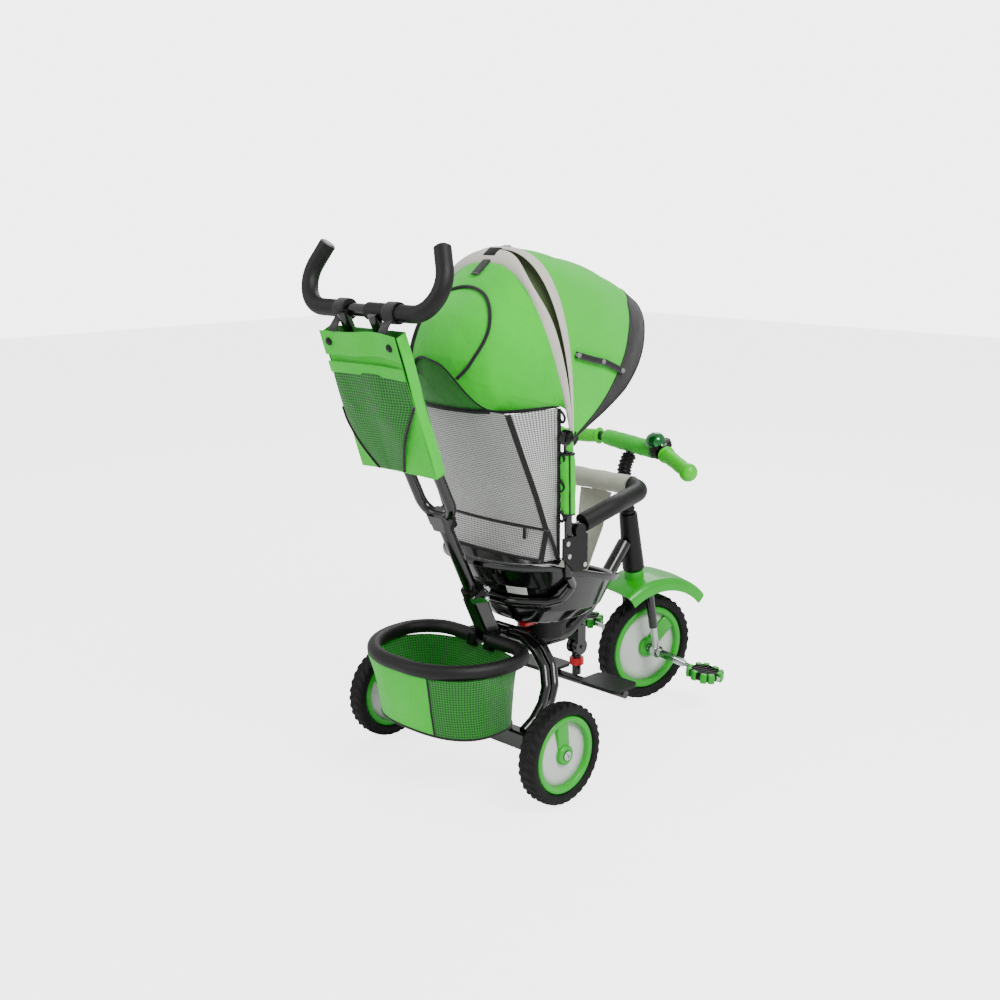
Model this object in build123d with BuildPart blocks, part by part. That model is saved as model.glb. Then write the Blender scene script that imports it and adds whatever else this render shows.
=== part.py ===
"""Children's push-along tricycle: pedal front wheel, swivelling bucket seat with canopy,
two-tube push handle and rear basket.

Millimetres, +Z up. +X is the rider's left and the tricycle faces -Y. The origin is on the
floor under the middle of the overall length and width. The front end is drawn straight
ahead and then turned about the steering axis to its stored angle.
"""

from build123d import *
import os
from math import cos, pi, radians, sin, tan

# ---- driving dimensions ----------------------------------------------------------------
AXLE_Y = 203.2          # rear axle, behind the origin
WHEELBASE = 563
REAR_R = 100            # 8 inch rear wheels
FRONT_R = 125           # 10 inch front wheel
TRACK_X = 250           # rear wheel middle planes
TYRE_W = 42
REAR_RIM_R = 77
FRONT_RIM_R = 97
AXLE_R = 6
RUN = 0.05              # radial running clearance

STEER_TILT = 10         # steering axis, degrees from vertical
STEER_Y = -520          # steering axis, at the lower end of the head shell
STEER_Z = 321
FENDER_ARC = (46, -34)  # how far the mudguard reaches each way
STEER_REST = -12        # stored turned to the rider's right
FRONT_LIFT = 0.39       # raises the leaning front wheel back onto the floor

POLE_TILT = 26          # push pole, degrees from vertical
POLE_Y = -53            # pole centre line at the foot of its socket
POLE_Z = 279
POLE_R = 14

SWIVEL_Y = -215         # vertical axis of the turning seat
HUB_Y = -102            # canopy hinge line
HUB_Z = 692
HUB_X = 170
GUARD_Y = -130          # guard ring hinge line
GUARD_Z = 505
FOLD_Y = -329           # footrest fold line
FOLD_Z = 180
CRANK = 75
CRANK_ANGLE = -28       # right crank, below straight ahead
PEDAL_X = 140


def at(x, y, z):
    """A point given by its distance behind the rear axle."""
    return (x, AXLE_Y + y, z)


def up_pole(distance, x=0, behind=0):
    """A point beside the pole's centre line, so far along it from its foot."""
    y = POLE_Y + distance * sin(radians(POLE_TILT)) + behind * cos(radians(POLE_TILT))
    z = POLE_Z + distance * cos(radians(POLE_TILT)) - behind * sin(radians(POLE_TILT))
    return at(x, y, z)


POLE_DIR = (0, sin(radians(POLE_TILT)), cos(radians(POLE_TILT)))
STEER_DIR = (0, sin(radians(STEER_TILT)), cos(radians(STEER_TILT)))
STEER_AXIS = Axis(at(0, STEER_Y, STEER_Z), STEER_DIR)
FRONT_AXLE = at(0, -WHEELBASE, FRONT_R + FRONT_LIFT)


def on_steerer(z, x=0, ahead=0):
    """A point on the steering axis at height z, or so far ahead of it."""
    return at(x, STEER_Y + (z - STEER_Z) * tan(radians(STEER_TILT)) - ahead, z)


def write(piece, name, turned=False):
    """Labels a piece and writes its file; a turned piece belongs to the steered front end."""
    part = piece.part.rotate(STEER_AXIS, STEER_REST) if turned else piece.part
    part.label = name
    export_step(part, f"parts/{name}.step")


def bent_tube(corners, bends, outer, inner=0):
    """A round tube along straight runs joined by tangent bends."""
    with BuildPart() as tube:
        with BuildLine() as route:
            FilletPolyline(*corners, radius=bends)
        with BuildSketch(Plane(origin=route.line @ 0, z_dir=route.line % 0)):
            Circle(outer)
            if inner:
                Circle(inner, mode=Mode.SUBTRACT)
        sweep()
    return tube


def rods(ends, outer, inner=0):
    """Straight round bars or tubes, one for each pair of end points."""
    with BuildPart() as bars:
        for start, end in ends:
            reach = Vector(*end) - Vector(*start)
            with BuildSketch(Plane(origin=start, z_dir=reach)):
                Circle(outer)
                if inner:
                    Circle(inner, mode=Mode.SUBTRACT)
            extrude(amount=reach.length)
    return bars


def cross_plane(x, y, z):
    """A plane square to X, whose own x runs along +Y and own y up."""
    return Plane(origin=at(x, y, z), x_dir=(0, 1, 0), z_dir=(1, 0, 0))


def both(x, y, z):
    """The same point on the left and on the right."""
    return [at(x, y, z), at(-x, y, z)]


def wheel(centre_x, y, z, outer_r, rim_r, hub_r, ring, name, turned=False):
    """A tyre, and its moulded rim: ring, hub, disc and one wide spoke on each face."""
    half = TYRE_W / 2
    axis = Axis(at(centre_x, y, z), (1, 0, 0))
    flat = Plane(origin=at(centre_x, y, z), x_dir=(1, 0, 0), z_dir=(0, -1, 0))

    with BuildPart() as tyre:
        with BuildSketch(flat):
            with Locations((0, (outer_r + rim_r) / 2)):
                RectangleRounded(TYRE_W, outer_r - rim_r, 9)
        revolve(axis=axis)
    write(tyre, f"{name}_tyre", turned)

    with BuildPart() as rim:
        with BuildSketch(flat):
            with Locations((0, rim_r - ring / 2)):
                Rectangle(TYRE_W - 8, ring)
            with Locations((0, (hub_r + AXLE_R) / 2)):
                Rectangle(TYRE_W - 6, hub_r - AXLE_R)
        revolve(axis=axis)
        for side in (-1, 1):
            start = centre_x + side * 4
            with BuildSketch(cross_plane(start, y, z)):
                with Locations((0, (rim_r - ring / 2 + hub_r) / 2)):
                    Rectangle(hub_r * 1.5, rim_r - ring / 2 - hub_r + 8)
            extrude(amount=side * 5)
        with Locations(Plane(origin=at(centre_x - half, y, z), z_dir=(1, 0, 0))):
            Cylinder(
                AXLE_R + (0 if turned else RUN),
                TYRE_W,
                align=(Align.CENTER, Align.CENTER, Align.MIN),
                mode=Mode.SUBTRACT,
            )
        with BuildSketch(cross_plane(centre_x - 4, y, z)):
            Circle(rim_r - ring)
            Circle(hub_r, mode=Mode.SUBTRACT)
        extrude(amount=8)
    write(rim, f"{name}_rim", turned)


# ---- frame -----------------------------------------------------------------------------
def make_frame():
    run = [
        at(0, -487, 384),
        at(0, -435, 329),
        at(0, -364, 262),
        at(0, -290, 218),
        at(0, -199, 221),
        at(0, -103, 260),
        at(0, -74, 273),
    ]
    write(bent_tube(run, [60, 60, 60, 60, 40], 16), "main_tube")

    hoop = [
        (150, -4, 116),
        (150, -33, 132),
        (149, -58, 158),
        (144, -74, 186),
        (126, -88, 219),
        (94, -96, 247),
        (50, -104, 262),
    ]
    with BuildPart() as stays:
        for ahead in (0, 24):
            right = [at(-x, y - ahead, z) for x, y, z in hoop]
            left = [at(x, y - ahead, z) for x, y, z in reversed(hoop)]
            add(bent_tube(right + left, 24, 10).part)
    write(stays, "rear_stays")

    with BuildPart() as beam:
        with BuildSketch(cross_plane(-165, 0, REAR_R)):
            RectangleRounded(30, 36, 5)
        extrude(amount=330)
        with BuildSketch(cross_plane(-231.5, 0, REAR_R)):
            Circle(12)
        extrude(amount=463)
        with BuildSketch(cross_plane(-240, 0, REAR_R)):
            Circle(AXLE_R)
        extrude(amount=480, mode=Mode.SUBTRACT)
    write(beam, "axle_beam")

    end = TRACK_X + 19
    with BuildPart() as axle:
        with BuildSketch(cross_plane(-end, 0, REAR_R)):
            Circle(AXLE_R)
        extrude(amount=2 * end)
        for side in (-1, 1):
            with BuildSketch(cross_plane(side * end, 0, REAR_R)):
                Circle(9)
            extrude(amount=side * 1.9)
    write(axle, "rear_axle")

    with BuildPart() as head:
        with BuildSketch(Plane(origin=on_steerer(STEER_Z), x_dir=(1, 0, 0), z_dir=STEER_DIR)):
            Circle(25)
            Circle(12.05, mode=Mode.SUBTRACT)
        extrude(amount=132, taper=2)
    write(head, "head_shell")

    with BuildPart() as socket:
        with BuildSketch(Plane(origin=up_pole(-18), x_dir=(1, 0, 0), z_dir=POLE_DIR)):
            RectangleRounded(36, 36, 5)
        extrude(amount=106)
        with BuildSketch(Plane(origin=up_pole(-6), x_dir=(1, 0, 0), z_dir=POLE_DIR)):
            Circle(POLE_R + RUN)
        extrude(amount=120, mode=Mode.SUBTRACT)
    write(socket, "pole_socket")

    with BuildPart() as collar:
        with BuildSketch(Plane(origin=up_pole(88), x_dir=(1, 0, 0), z_dir=POLE_DIR)):
            Circle(21)
            with Locations((-22, 0)):
                Rectangle(18, 16)
            Circle(POLE_R + RUN, mode=Mode.SUBTRACT)
        extrude(amount=22)
        with BuildSketch(Plane(origin=up_pole(99, x=-24, behind=-10), z_dir=lever_axis())):
            Circle(4.05)
        extrude(amount=20, mode=Mode.SUBTRACT)
    write(collar, "pole_clamp")

    with BuildPart() as base:
        with BuildSketch(Plane.XY.offset(226)):
            with Locations((0, AXLE_Y + SWIVEL_Y)):
                RectangleRounded(60, 84, 12)
        extrude(amount=14)
        with BuildSketch(Plane.XY.offset(240)):
            with Locations((0, AXLE_Y + SWIVEL_Y)):
                Circle(52)
        extrude(amount=27)
        with BuildSketch(Plane.XY.offset(243)):
            with Locations((0, AXLE_Y + SWIVEL_Y)):
                Circle(14 + RUN)
        extrude(amount=30, mode=Mode.SUBTRACT)
    write(base, "seat_base")


def lever_axis():
    """The clamp bolt runs front to back, square to the pole."""
    return (0, cos(radians(POLE_TILT)), -sin(radians(POLE_TILT)))


def make_clamp_lever():
    bolt_start = up_pole(99, x=-24, behind=-14)
    bolt_end = up_pole(99, x=-24, behind=16)
    with BuildPart() as lever:
        with BuildSketch(Plane(origin=bolt_start, z_dir=lever_axis())):
            Circle(4)
        extrude(amount=30)
        with BuildSketch(Plane(origin=bolt_end, x_dir=(1, 0, 0), z_dir=lever_axis())):
            Circle(8)
            with Locations((-24, -8)):
                RectangleRounded(46, 11, 5, rotation=18)
        extrude(amount=7)
        with Locations(Plane(origin=up_pole(99, x=-24, behind=-20), z_dir=lever_axis())):
            Sphere(9)
    write(lever, "clamp_lever")


# ---- basket ----------------------------------------------------------------------------
def make_basket():
    rim_z = 266
    rim_route = [
        at(-26, -37, rim_z),
        at(-159, -37, rim_z),
        at(-159, 189, rim_z),
        at(159, 189, rim_z),
        at(159, -37, rim_z),
        at(26, -37, rim_z),
    ]
    bends = [78, 138, 138, 78]
    write(bent_tube(rim_route, bends, 14.5, 5), "basket_rim")

    def outline(z, half, front, back, corner, inset):
        """A level loop with small front corners and large back ones."""
        side, near, far = half - inset, AXLE_Y + front + inset, AXLE_Y + back - inset
        small, large = corner - inset, min(half, back - front - corner) - 30 - inset
        start = near + small + 10
        with BuildSketch(Plane.XY.offset(z)) as shape:
            with BuildLine():
                FilletPolyline(
                    (side, start),
                    (side, far),
                    (-side, far),
                    (-side, near),
                    (side, near),
                    (side, start - 1),
                    radius=[large, large, small, small],
                )
                Line((side, start - 1), (side, start))
            make_face()
        return shape.sketch

    with BuildPart() as fabric:
        levels = [(251.5, 159, -37, 189, 76), (180, 151, -35, 176, 72), (126, 142, -32, 161, 66)]
        loft([outline(*level, 0) for level in levels])
        levels[0] = (252.5, 159, -37, 189, 76)
        levels[2] = (130, 143, -32, 162, 66)
        loft([outline(*level, 4) for level in levels], mode=Mode.SUBTRACT)
    write(fabric, "basket_fabric")

    with BuildPart() as hoop:
        add(bent_tube(rim_route, bends, 5).part)
        for side in (-1, 1):
            with BuildSketch(Plane.XY.offset(258)):
                with Locations((side * 22, AXLE_Y - 46)):
                    Rectangle(7.8, 34)
            extrude(amount=16)
    write(hoop, "basket_hoop")


# ---- footrest --------------------------------------------------------------------------
def make_footrest():
    with BuildPart() as hanger:
        with BuildSketch(Plane.XY.offset(196)):
            with Locations((0, AXLE_Y + FOLD_Y)):
                Rectangle(30, 26)
        extrude(amount=34)
        with BuildSketch(cross_plane(-15, FOLD_Y, FOLD_Z)):
            Circle(18)
            with Locations((0, 10)):
                Rectangle(26, 20)
        extrude(amount=9)
        with BuildSketch(cross_plane(6, FOLD_Y, FOLD_Z)):
            Circle(18)
            with Locations((0, 10)):
                Rectangle(26, 20)
        extrude(amount=9)
        with BuildSketch(cross_plane(-18, FOLD_Y, FOLD_Z)):
            Circle(4)
        extrude(amount=36)
    write(hanger, "footrest_hanger")

    with BuildPart() as post:
        with BuildSketch(cross_plane(-5.7, FOLD_Y, FOLD_Z)):
            Circle(13)
        extrude(amount=11.4)
        with BuildSketch(Plane.XY.offset(115)):
            with Locations((0, AXLE_Y + FOLD_Y)):
                Circle(10)
        extrude(amount=44)
        with BuildSketch(Plane.XY.offset(156)):
            with Locations((0, AXLE_Y + FOLD_Y)):
                Rectangle(11.4, 20)
        extrude(amount=16)
        with BuildSketch(cross_plane(-20, FOLD_Y, FOLD_Z)):
            Circle(4 + RUN)
        extrude(amount=40, mode=Mode.SUBTRACT)
    write(post, "footrest_post")

    with BuildPart() as collar:
        with BuildSketch(Plane.XY.offset(138)):
            with Locations((0, AXLE_Y + FOLD_Y)):
                Circle(16)
                Circle(10, mode=Mode.SUBTRACT)
        extrude(amount=15)
    write(collar, "footrest_collar")

    with BuildPart() as bar:
        with BuildSketch(cross_plane(-148, FOLD_Y + 8, 106)):
            Circle(9)
        extrude(amount=296)
    write(bar, "footrest_bar")

    with BuildPart() as plates:
        with BuildSketch(Plane.XY.offset(115.2)):
            for side in (-1, 1):
                with Locations((side * 96, AXLE_Y + FOLD_Y + 5)):
                    RectangleRounded(108, 78, 16)
        extrude(amount=7)
    write(plates, "footplates")


# ---- steered front end -----------------------------------------------------------------
def make_front_end():
    crown_z = 278
    leg_x = 45
    leg_top = at(leg_x, -531, crown_z)
    leg_end_z = 186
    axle_y, axle_z = FRONT_AXLE[1] - AXLE_Y, FRONT_AXLE[2]
    share = (crown_z - leg_end_z) / (crown_z - axle_z)
    leg_y = -531 + (axle_y + 531) * share

    with BuildPart() as fork:
        with BuildSketch(Plane.XY.offset(crown_z - 9)):
            with Locations((0, AXLE_Y - 530)):
                RectangleRounded(2 * leg_x + 24, 32, 10)
        extrude(amount=16)
        for side in (-1, 1):
            start = at(side * leg_x, -531, crown_z)
            reach = Vector(*at(side * leg_x, leg_y, leg_end_z)) - Vector(*start)
            with BuildSketch(Plane(origin=start, z_dir=reach)):
                Circle(10)
            extrude(amount=reach.length)
        foot = on_steerer(crown_z - 4)
        top = Vector(*on_steerer(470)) - Vector(*foot)
        with BuildSketch(Plane(origin=foot, z_dir=STEER_DIR)):
            Circle(12)
        extrude(amount=top.length)
    write(fork, "fork", True)

    with BuildPart() as ends:
        for side in (-1, 1):
            start = at(side * leg_x, leg_y, leg_end_z)
            reach = Vector(*at(side * leg_x, axle_y, axle_z)) - Vector(*start)
            with BuildSketch(Plane(origin=start, z_dir=reach)):
                Circle(8)
            extrude(amount=reach.length)
            with BuildSketch(cross_plane(side * leg_x - 7, axle_y, axle_z)):
                Circle(14)
            extrude(amount=14)
        with BuildSketch(cross_plane(-60, axle_y, axle_z)):
            Circle(AXLE_R + RUN)
        extrude(amount=120, mode=Mode.SUBTRACT)
    write(ends, "fork_ends", True)

    with BuildSketch(Plane(origin=FRONT_AXLE, x_dir=(1, 0, 0), z_dir=(0, -1, 0))) as guard:
        with BuildLine():
            FilletPolyline((-62, 148), (-62, 176), (0, 180), (62, 176), (62, 148), radius=[16, 200, 16])
            Line((62, 148), (59, 148))
            FilletPolyline(
                (59, 148), (59, 173.4), (0, 177), (-59, 173.4), (-59, 148), radius=[13, 197, 13]
            )
            Line((-59, 148), (-62, 148))
        make_face()
    with BuildPart() as fender:
        for swing in FENDER_ARC:
            revolve(guard.sketch, axis=Axis(FRONT_AXLE, (1, 0, 0)), revolution_arc=swing)
        with BuildSketch(Plane(origin=on_steerer(298), z_dir=STEER_DIR)):
            Circle(22)
        extrude(amount=18)
        with BuildSketch(Plane(origin=on_steerer(270), z_dir=STEER_DIR)):
            Circle(12.3)
        extrude(amount=80, mode=Mode.SUBTRACT)
    write(fender, "fender", True)

    stem = [on_steerer(470), on_steerer(545), at(0, -499, 604)]
    cover = [on_steerer(474), on_steerer(545), at(0, -496, 592)]
    write(bent_tube(cover, [60], 17, 10), "stem_cover", True)

    bar_y, bar_z = -502, 608
    bar = [at(-228, -466, 594), at(-108, bar_y, bar_z), at(108, bar_y, bar_z), at(228, -466, 594)]
    with BuildPart() as handlebar:
        add(bent_tube(bar, [60, 60], 11).part)
        add(bent_tube(stem, [60], 10).part)
    write(handlebar, "handlebar", True)
    write(rods([(at(-72, bar_y, bar_z), at(92, bar_y, bar_z))], 17.5, 11), "bar_pad", True)

    out = (Vector(*bar[3]) - Vector(*bar[2])).normalized()
    with BuildPart() as grips:
        for side in (-1, 1):
            aim = Vector(side * out.X, out.Y, out.Z)
            tip = Vector(*at(side * 228, -466, 594))
            with BuildSketch(Plane(origin=tip - aim * 94, z_dir=aim)):
                Circle(19)
            extrude(amount=6)
            with BuildSketch(Plane(origin=tip - aim * 88, z_dir=aim)):
                Circle(15)
            extrude(amount=92)
            with Locations(Plane(origin=tip - aim * 2, z_dir=aim)):
                Sphere(20)
            with BuildSketch(Plane(origin=tip - aim * 110, z_dir=aim)):
                Circle(11)
            extrude(amount=110, mode=Mode.SUBTRACT)
    write(grips, "grips", True)

    bell_x = -90
    lean = Plane(origin=at(bell_x, bar_y, bar_z), x_dir=(1, 0, 0), z_dir=(0, 0.45, 0.89))
    with BuildPart() as base:
        with BuildSketch(cross_plane(bell_x - 7, bar_y, bar_z)):
            Circle(17)
            Circle(11, mode=Mode.SUBTRACT)
        extrude(amount=14)
        with BuildSketch(lean.offset(15)):
            Circle(18)
        extrude(amount=9)
        with BuildSketch(lean.offset(24)):
            Circle(5)
        extrude(amount=9)
    write(base, "bell_base", True)
    with BuildPart() as dome:
        with BuildSketch(Plane(origin=lean.origin, x_dir=(1, 0, 0), z_dir=lean.y_dir * -1)):
            with BuildLine():
                Line((0, 46), (0, 43.6))
                Spline((0, 43.6), (14, 39), (20, 26))
                Line((20, 26), (22.4, 26))
                Spline((22.4, 26), (16, 41), (0, 46))
            make_face()
        revolve(axis=Axis(lean.origin, lean.z_dir))
    write(dome, "bell_dome", True)
    with BuildPart() as striker:
        with BuildSketch(lean.offset(24.4)):
            Circle(9)
            Circle(5 + RUN, mode=Mode.SUBTRACT)
            with Locations((-16, 0)):
                Rectangle(17, 7)
            with Locations((-27, 0)):
                Circle(6)
        extrude(amount=1.4)
    write(striker, "bell_lever", True)


def make_crank_and_pedals():
    axle_y, axle_z = FRONT_AXLE[1] - AXLE_Y, FRONT_AXLE[2]
    reach_y = -CRANK * cos(radians(CRANK_ANGLE))
    reach_z = CRANK * sin(radians(CRANK_ANGLE))
    tilt = 180 - CRANK_ANGLE
    with BuildPart() as crank:
        with BuildSketch(cross_plane(-66, axle_y, axle_z)):
            Circle(AXLE_R)
        extrude(amount=132)
        for side, turn in ((-1, 0), (1, 180)):
            sign = 1 if side == -1 else -1
            with BuildSketch(cross_plane(side * 66 - (0 if side == -1 else 10), axle_y, axle_z)):
                with Locations((sign * reach_y / 2, sign * reach_z / 2)):
                    SlotCenterToCenter(CRANK, 18, rotation=tilt)
            extrude(amount=10)
            pin_y, pin_z = axle_y + sign * reach_y, axle_z + sign * reach_z
            start = side * 66
            with BuildSketch(cross_plane(start, pin_y, pin_z)):
                Circle(5)
            extrude(amount=side * 120)
    write(crank, "crank", True)

    for name, side in (("pedal_left", 1), ("pedal_right", -1)):
        sign = -side
        pin_y, pin_z = axle_y + sign * reach_y, axle_z + sign * reach_z
        with BuildPart() as body:
            with BuildSketch(cross_plane(side * PEDAL_X - 43, pin_y, pin_z)):
                RectangleRounded(36, 20, 6)
                Circle(5 + RUN, mode=Mode.SUBTRACT)
            extrude(amount=86)
            for offset in (-43, 37):
                with BuildSketch(cross_plane(side * PEDAL_X + offset, pin_y, pin_z)):
                    RectangleRounded(70, 20, 6)
                    Circle(5 + RUN, mode=Mode.SUBTRACT)
                extrude(amount=6)
            for way in (-1, 1):
                with BuildSketch(cross_plane(side * PEDAL_X - 37, pin_y + way * 26.5, pin_z)):
                    RectangleRounded(17, 22, 5)
                extrude(amount=74)
        write(body, name, True)


# ---- seat, backrest and guard ----------------------------------------------------------
def seat_outline(z, half, front, back, corner):
    """A level rounded rectangle, by its front and back edges."""
    with BuildSketch(Plane.XY.offset(z)) as shape:
        with Locations((0, AXLE_Y + (front + back) / 2)):
            RectangleRounded(2 * half, back - front, corner)
    return shape.sketch


def make_seat():
    with BuildPart() as hub:
        with BuildSketch(Plane.XY.offset(268)):
            with Locations((0, AXLE_Y + SWIVEL_Y)):
                Circle(60)
        extrude(amount=24)
        with BuildSketch(Plane.XY.offset(245)):
            with Locations((0, AXLE_Y + SWIVEL_Y)):
                Circle(14)
        extrude(amount=24)
    write(hub, "seat_turntable")

    with BuildPart() as shell:
        outside = [
            (292, 92, -304, -116, 68),
            (330, 124, -322, -84, 98),
            (380, 138, -334, -60, 112),
            (436, 158, -342, -22, 126),
        ]
        loft([seat_outline(*level) for level in outside])
        inside = [
            (296, 88, -300, -120, 64),
            (332, 120, -318, -88, 94),
            (380, 134, -330, -64, 108),
            (437, 154, -338, -26, 122),
        ]
        loft([seat_outline(*level) for level in inside], mode=Mode.SUBTRACT)
        front_cut = Plane(origin=at(0, -345, 352), x_dir=(1, 0, 0), z_dir=(0, -0.3, 1))
        with BuildSketch(front_cut):
            Rectangle(400, 1200)
        extrude(amount=160, mode=Mode.SUBTRACT)
    write(shell, "seat_shell")

    with BuildPart() as pad:
        extrude(seat_outline(297, 84, -292, -124, 60), amount=20)
    write(pad, "seat_pad")

    with BuildPart() as apron:
        with BuildSketch(cross_plane(-38, 0, 0)):
            with BuildLine():
                Polyline((-290, 320), (-302, 322), (-388, 519), (-384, 524), (-290, 320))
            make_face()
        extrude(amount=76)
    write(apron, "crotch_panel")

    half_cradle = [
        (170, -109, 416),
        (158, -136, 388),
        (143, -120, 360),
        (120, -103, 351),
        (62, -63, 350),
    ]
    cradle = [at(-x, y, z) for x, y, z in half_cradle]
    cradle += [at(x, y, z) for x, y, z in reversed(half_cradle)]
    write(bent_tube(cradle, [18, 18, 16, 60, 60, 16, 18, 18], 9), "seat_cradle")

    with BuildPart() as plates:
        for side in (-1, 1):
            with BuildSketch(cross_plane(side * 178.2 - (0 if side == 1 else 5), 0, 0)):
                with BuildLine():
                    Polyline((-150, 425), (-112, 425), (-80, 456), (-80, 497), (-150, 497), (-150, 425))
                make_face()
                with Locations((GUARD_Y, GUARD_Z)):
                    Circle(15)
            extrude(amount=5)
            with BuildSketch(cross_plane(side * 178.2, GUARD_Y, GUARD_Z)):
                Circle(6)
            extrude(amount=-side * 20)
    write(plates, "seat_brackets")

    heads = []
    for side in (-1, 1):
        for y, z in ((-90, 486), (-94, 460), (-140, 436)):
            heads.append((at(side * 183.2, y, z), at(side * 186.2, y, z)))
    write(rods(heads, 5), "bracket_screws")


def make_canopy_posts():
    posts = []
    for side in (-1, 1):
        posts.append((at(side * HUB_X, -109, 414.5), at(side * HUB_X, HUB_Y, HUB_Z - 10)))
    with BuildPart() as stand:
        add(rods(posts, 8).part)
        for side in (-1, 1):
            with BuildSketch(cross_plane(side * HUB_X - 7, HUB_Y, HUB_Z)):
                Circle(16)
            extrude(amount=14)
            with BuildSketch(cross_plane(side * HUB_X, HUB_Y, HUB_Z)):
                Circle(4)
            extrude(amount=side * 18)
    write(stand, "canopy_posts")

    sleeves = []
    for side in (-1, 1):
        sleeves.append((at(side * HUB_X, -105.9, 541), at(side * HUB_X, -102.9, 660)))
    with BuildPart() as padding:
        add(rods(sleeves, 14).part)
        add(rods(posts, 8.1).part, mode=Mode.SUBTRACT)
    write(padding, "post_sleeves")


def make_backrest():
    def section(z, wing_x, wing_y, seam_x, seam_y, thick):
        with BuildSketch(Plane.XY.offset(z)) as shape:
            with BuildLine():
                Polyline(
                    (wing_x, AXLE_Y + wing_y),
                    (seam_x, AXLE_Y + seam_y),
                    (-seam_x, AXLE_Y + seam_y),
                    (-wing_x, AXLE_Y + wing_y),
                    (-wing_x + thick, AXLE_Y + wing_y),
                    (-seam_x + thick, AXLE_Y + seam_y - thick),
                    (seam_x - thick, AXLE_Y + seam_y - thick),
                    (wing_x - thick, AXLE_Y + wing_y),
                    (wing_x, AXLE_Y + wing_y),
                )
            make_face()
        return shape.sketch

    with BuildPart() as panel:
        low = section(450, 148, -100, 140, -60, 6)
        middle = section(509, 150, -96, 146, -70, 6)
        high = section(748, 154, -92, 142, 34, 6)
        loft([low, middle], ruled=True)
        loft([middle, high], ruled=True)
    write(panel, "backrest")


def make_guard():
    half = [
        (156, GUARD_Y - 34, 511),
        (167, -250, 536),
        (138, -386, 545),
    ]
    ring = [at(-x, y, z) for x, y, z in half] + [at(x, y, z) for x, y, z in reversed(half)]
    write(bent_tube(ring, [120, 62, 62, 120], 19, 9), "guard_foam")
    core = [at(-161, GUARD_Y, 504)] + ring + [at(161, GUARD_Y, 504)]
    with BuildPart() as ends:
        add(bent_tube(core, [8, 120, 62, 62, 120, 8], 9).part)
        for side in (-1, 1):
            start = side * 163 - 7
            with BuildSketch(cross_plane(start, GUARD_Y, GUARD_Z)):
                Circle(13)
            extrude(amount=14)
            with BuildSketch(cross_plane(side * 150, GUARD_Y, GUARD_Z)):
                Circle(6 + RUN)
            extrude(amount=side * 30, mode=Mode.SUBTRACT)
    write(ends, "guard_tube")


def make_seat_lock():
    with BuildPart() as lever:
        with BuildSketch(Plane.XY.offset(278)):
            with Locations((-30, AXLE_Y - 138)):
                RectangleRounded(22, 30, 5)
        extrude(amount=7)
        with BuildSketch(cross_plane(-44, -153, 281.5)):
            Circle(3.4)
        extrude(amount=28)
    write(lever, "seat_lock_lever")


# ---- canopy ----------------------------------------------------------------------------
def bow_curve(half, reach, low, sharp=2.6, steps=8):
    """Points of a superellipse arch: x = half*cos^(2/sharp), y = low + rise*sin^(2/sharp)."""
    points = []
    for k in range(steps + 1):
        angle = pi * k / steps
        c, s = cos(angle), max(sin(angle), 0)
        x = half * (1 if c > 0 else -1) * abs(c) ** (2 / sharp)
        points.append((x, low + (reach - low) * s ** (2 / sharp)))
    return points


def bow_section(pivot_y, pivot_z, angle, half, reach, low, thick):
    """A bent band of fabric, in the plane through the pivot line at an angle above ahead."""
    lift = radians(angle)
    plane = Plane(
        origin=at(0, pivot_y, pivot_z),
        x_dir=(1, 0, 0),
        z_dir=(0, -sin(lift), -cos(lift)),
    )
    outer = bow_curve(half, reach, low)
    inner = bow_curve(half - thick, reach - thick, low)
    with BuildSketch(plane) as shape:
        with BuildLine():
            Spline(*outer)
            Line(outer[-1], inner[-1])
            Spline(*reversed(inner))
            Line(inner[0], outer[0])
        make_face()
    return shape.sketch


def bow_loft(pivot_y, pivot_z, bows, low, thick):
    """A curved sheet through several bows of one fan."""
    with BuildPart() as sheet:
        loft([bow_section(pivot_y, pivot_z, *bow, low, thick) for bow in bows])
    return sheet


def make_canopy():
    rear_bows = [(96, 171, 279), (118, 170, 238), (142, 164, 210), (164, 158, 176)]
    write(bow_loft(-94, 752, rear_bows, 8, 3), "canopy_rear")

    front_bows = [(92, 184, 354), (72, 184, 351), (52, 184, 374), (37, 184, 410)]
    write(bow_loft(HUB_Y, HUB_Z, front_bows, 26, 3), "canopy_front")

    visor_bows = [(36.6, 184, 411), (33, 184, 416), (29.5, 182, 412)]
    write(bow_loft(HUB_Y, HUB_Z, visor_bows, 26, 3.4), "visor")

    with BuildPart() as hubs:
        for side in (-1, 1):
            with BuildSketch(cross_plane(side * 178.4, HUB_Y, HUB_Z)):
                Circle(15)
                Circle(4 + RUN, mode=Mode.SUBTRACT)
            extrude(amount=side * 6)
            for angle in (60,):
                lean = radians(angle)
                y = -20 * cos(lean)
                z = 20 * sin(lean)
                with BuildSketch(cross_plane(side * 178.4, HUB_Y + y, HUB_Z + z)):
                    Rectangle(12, 14)
                extrude(amount=side * 2)
    write(hubs, "canopy_hubs")


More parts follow.
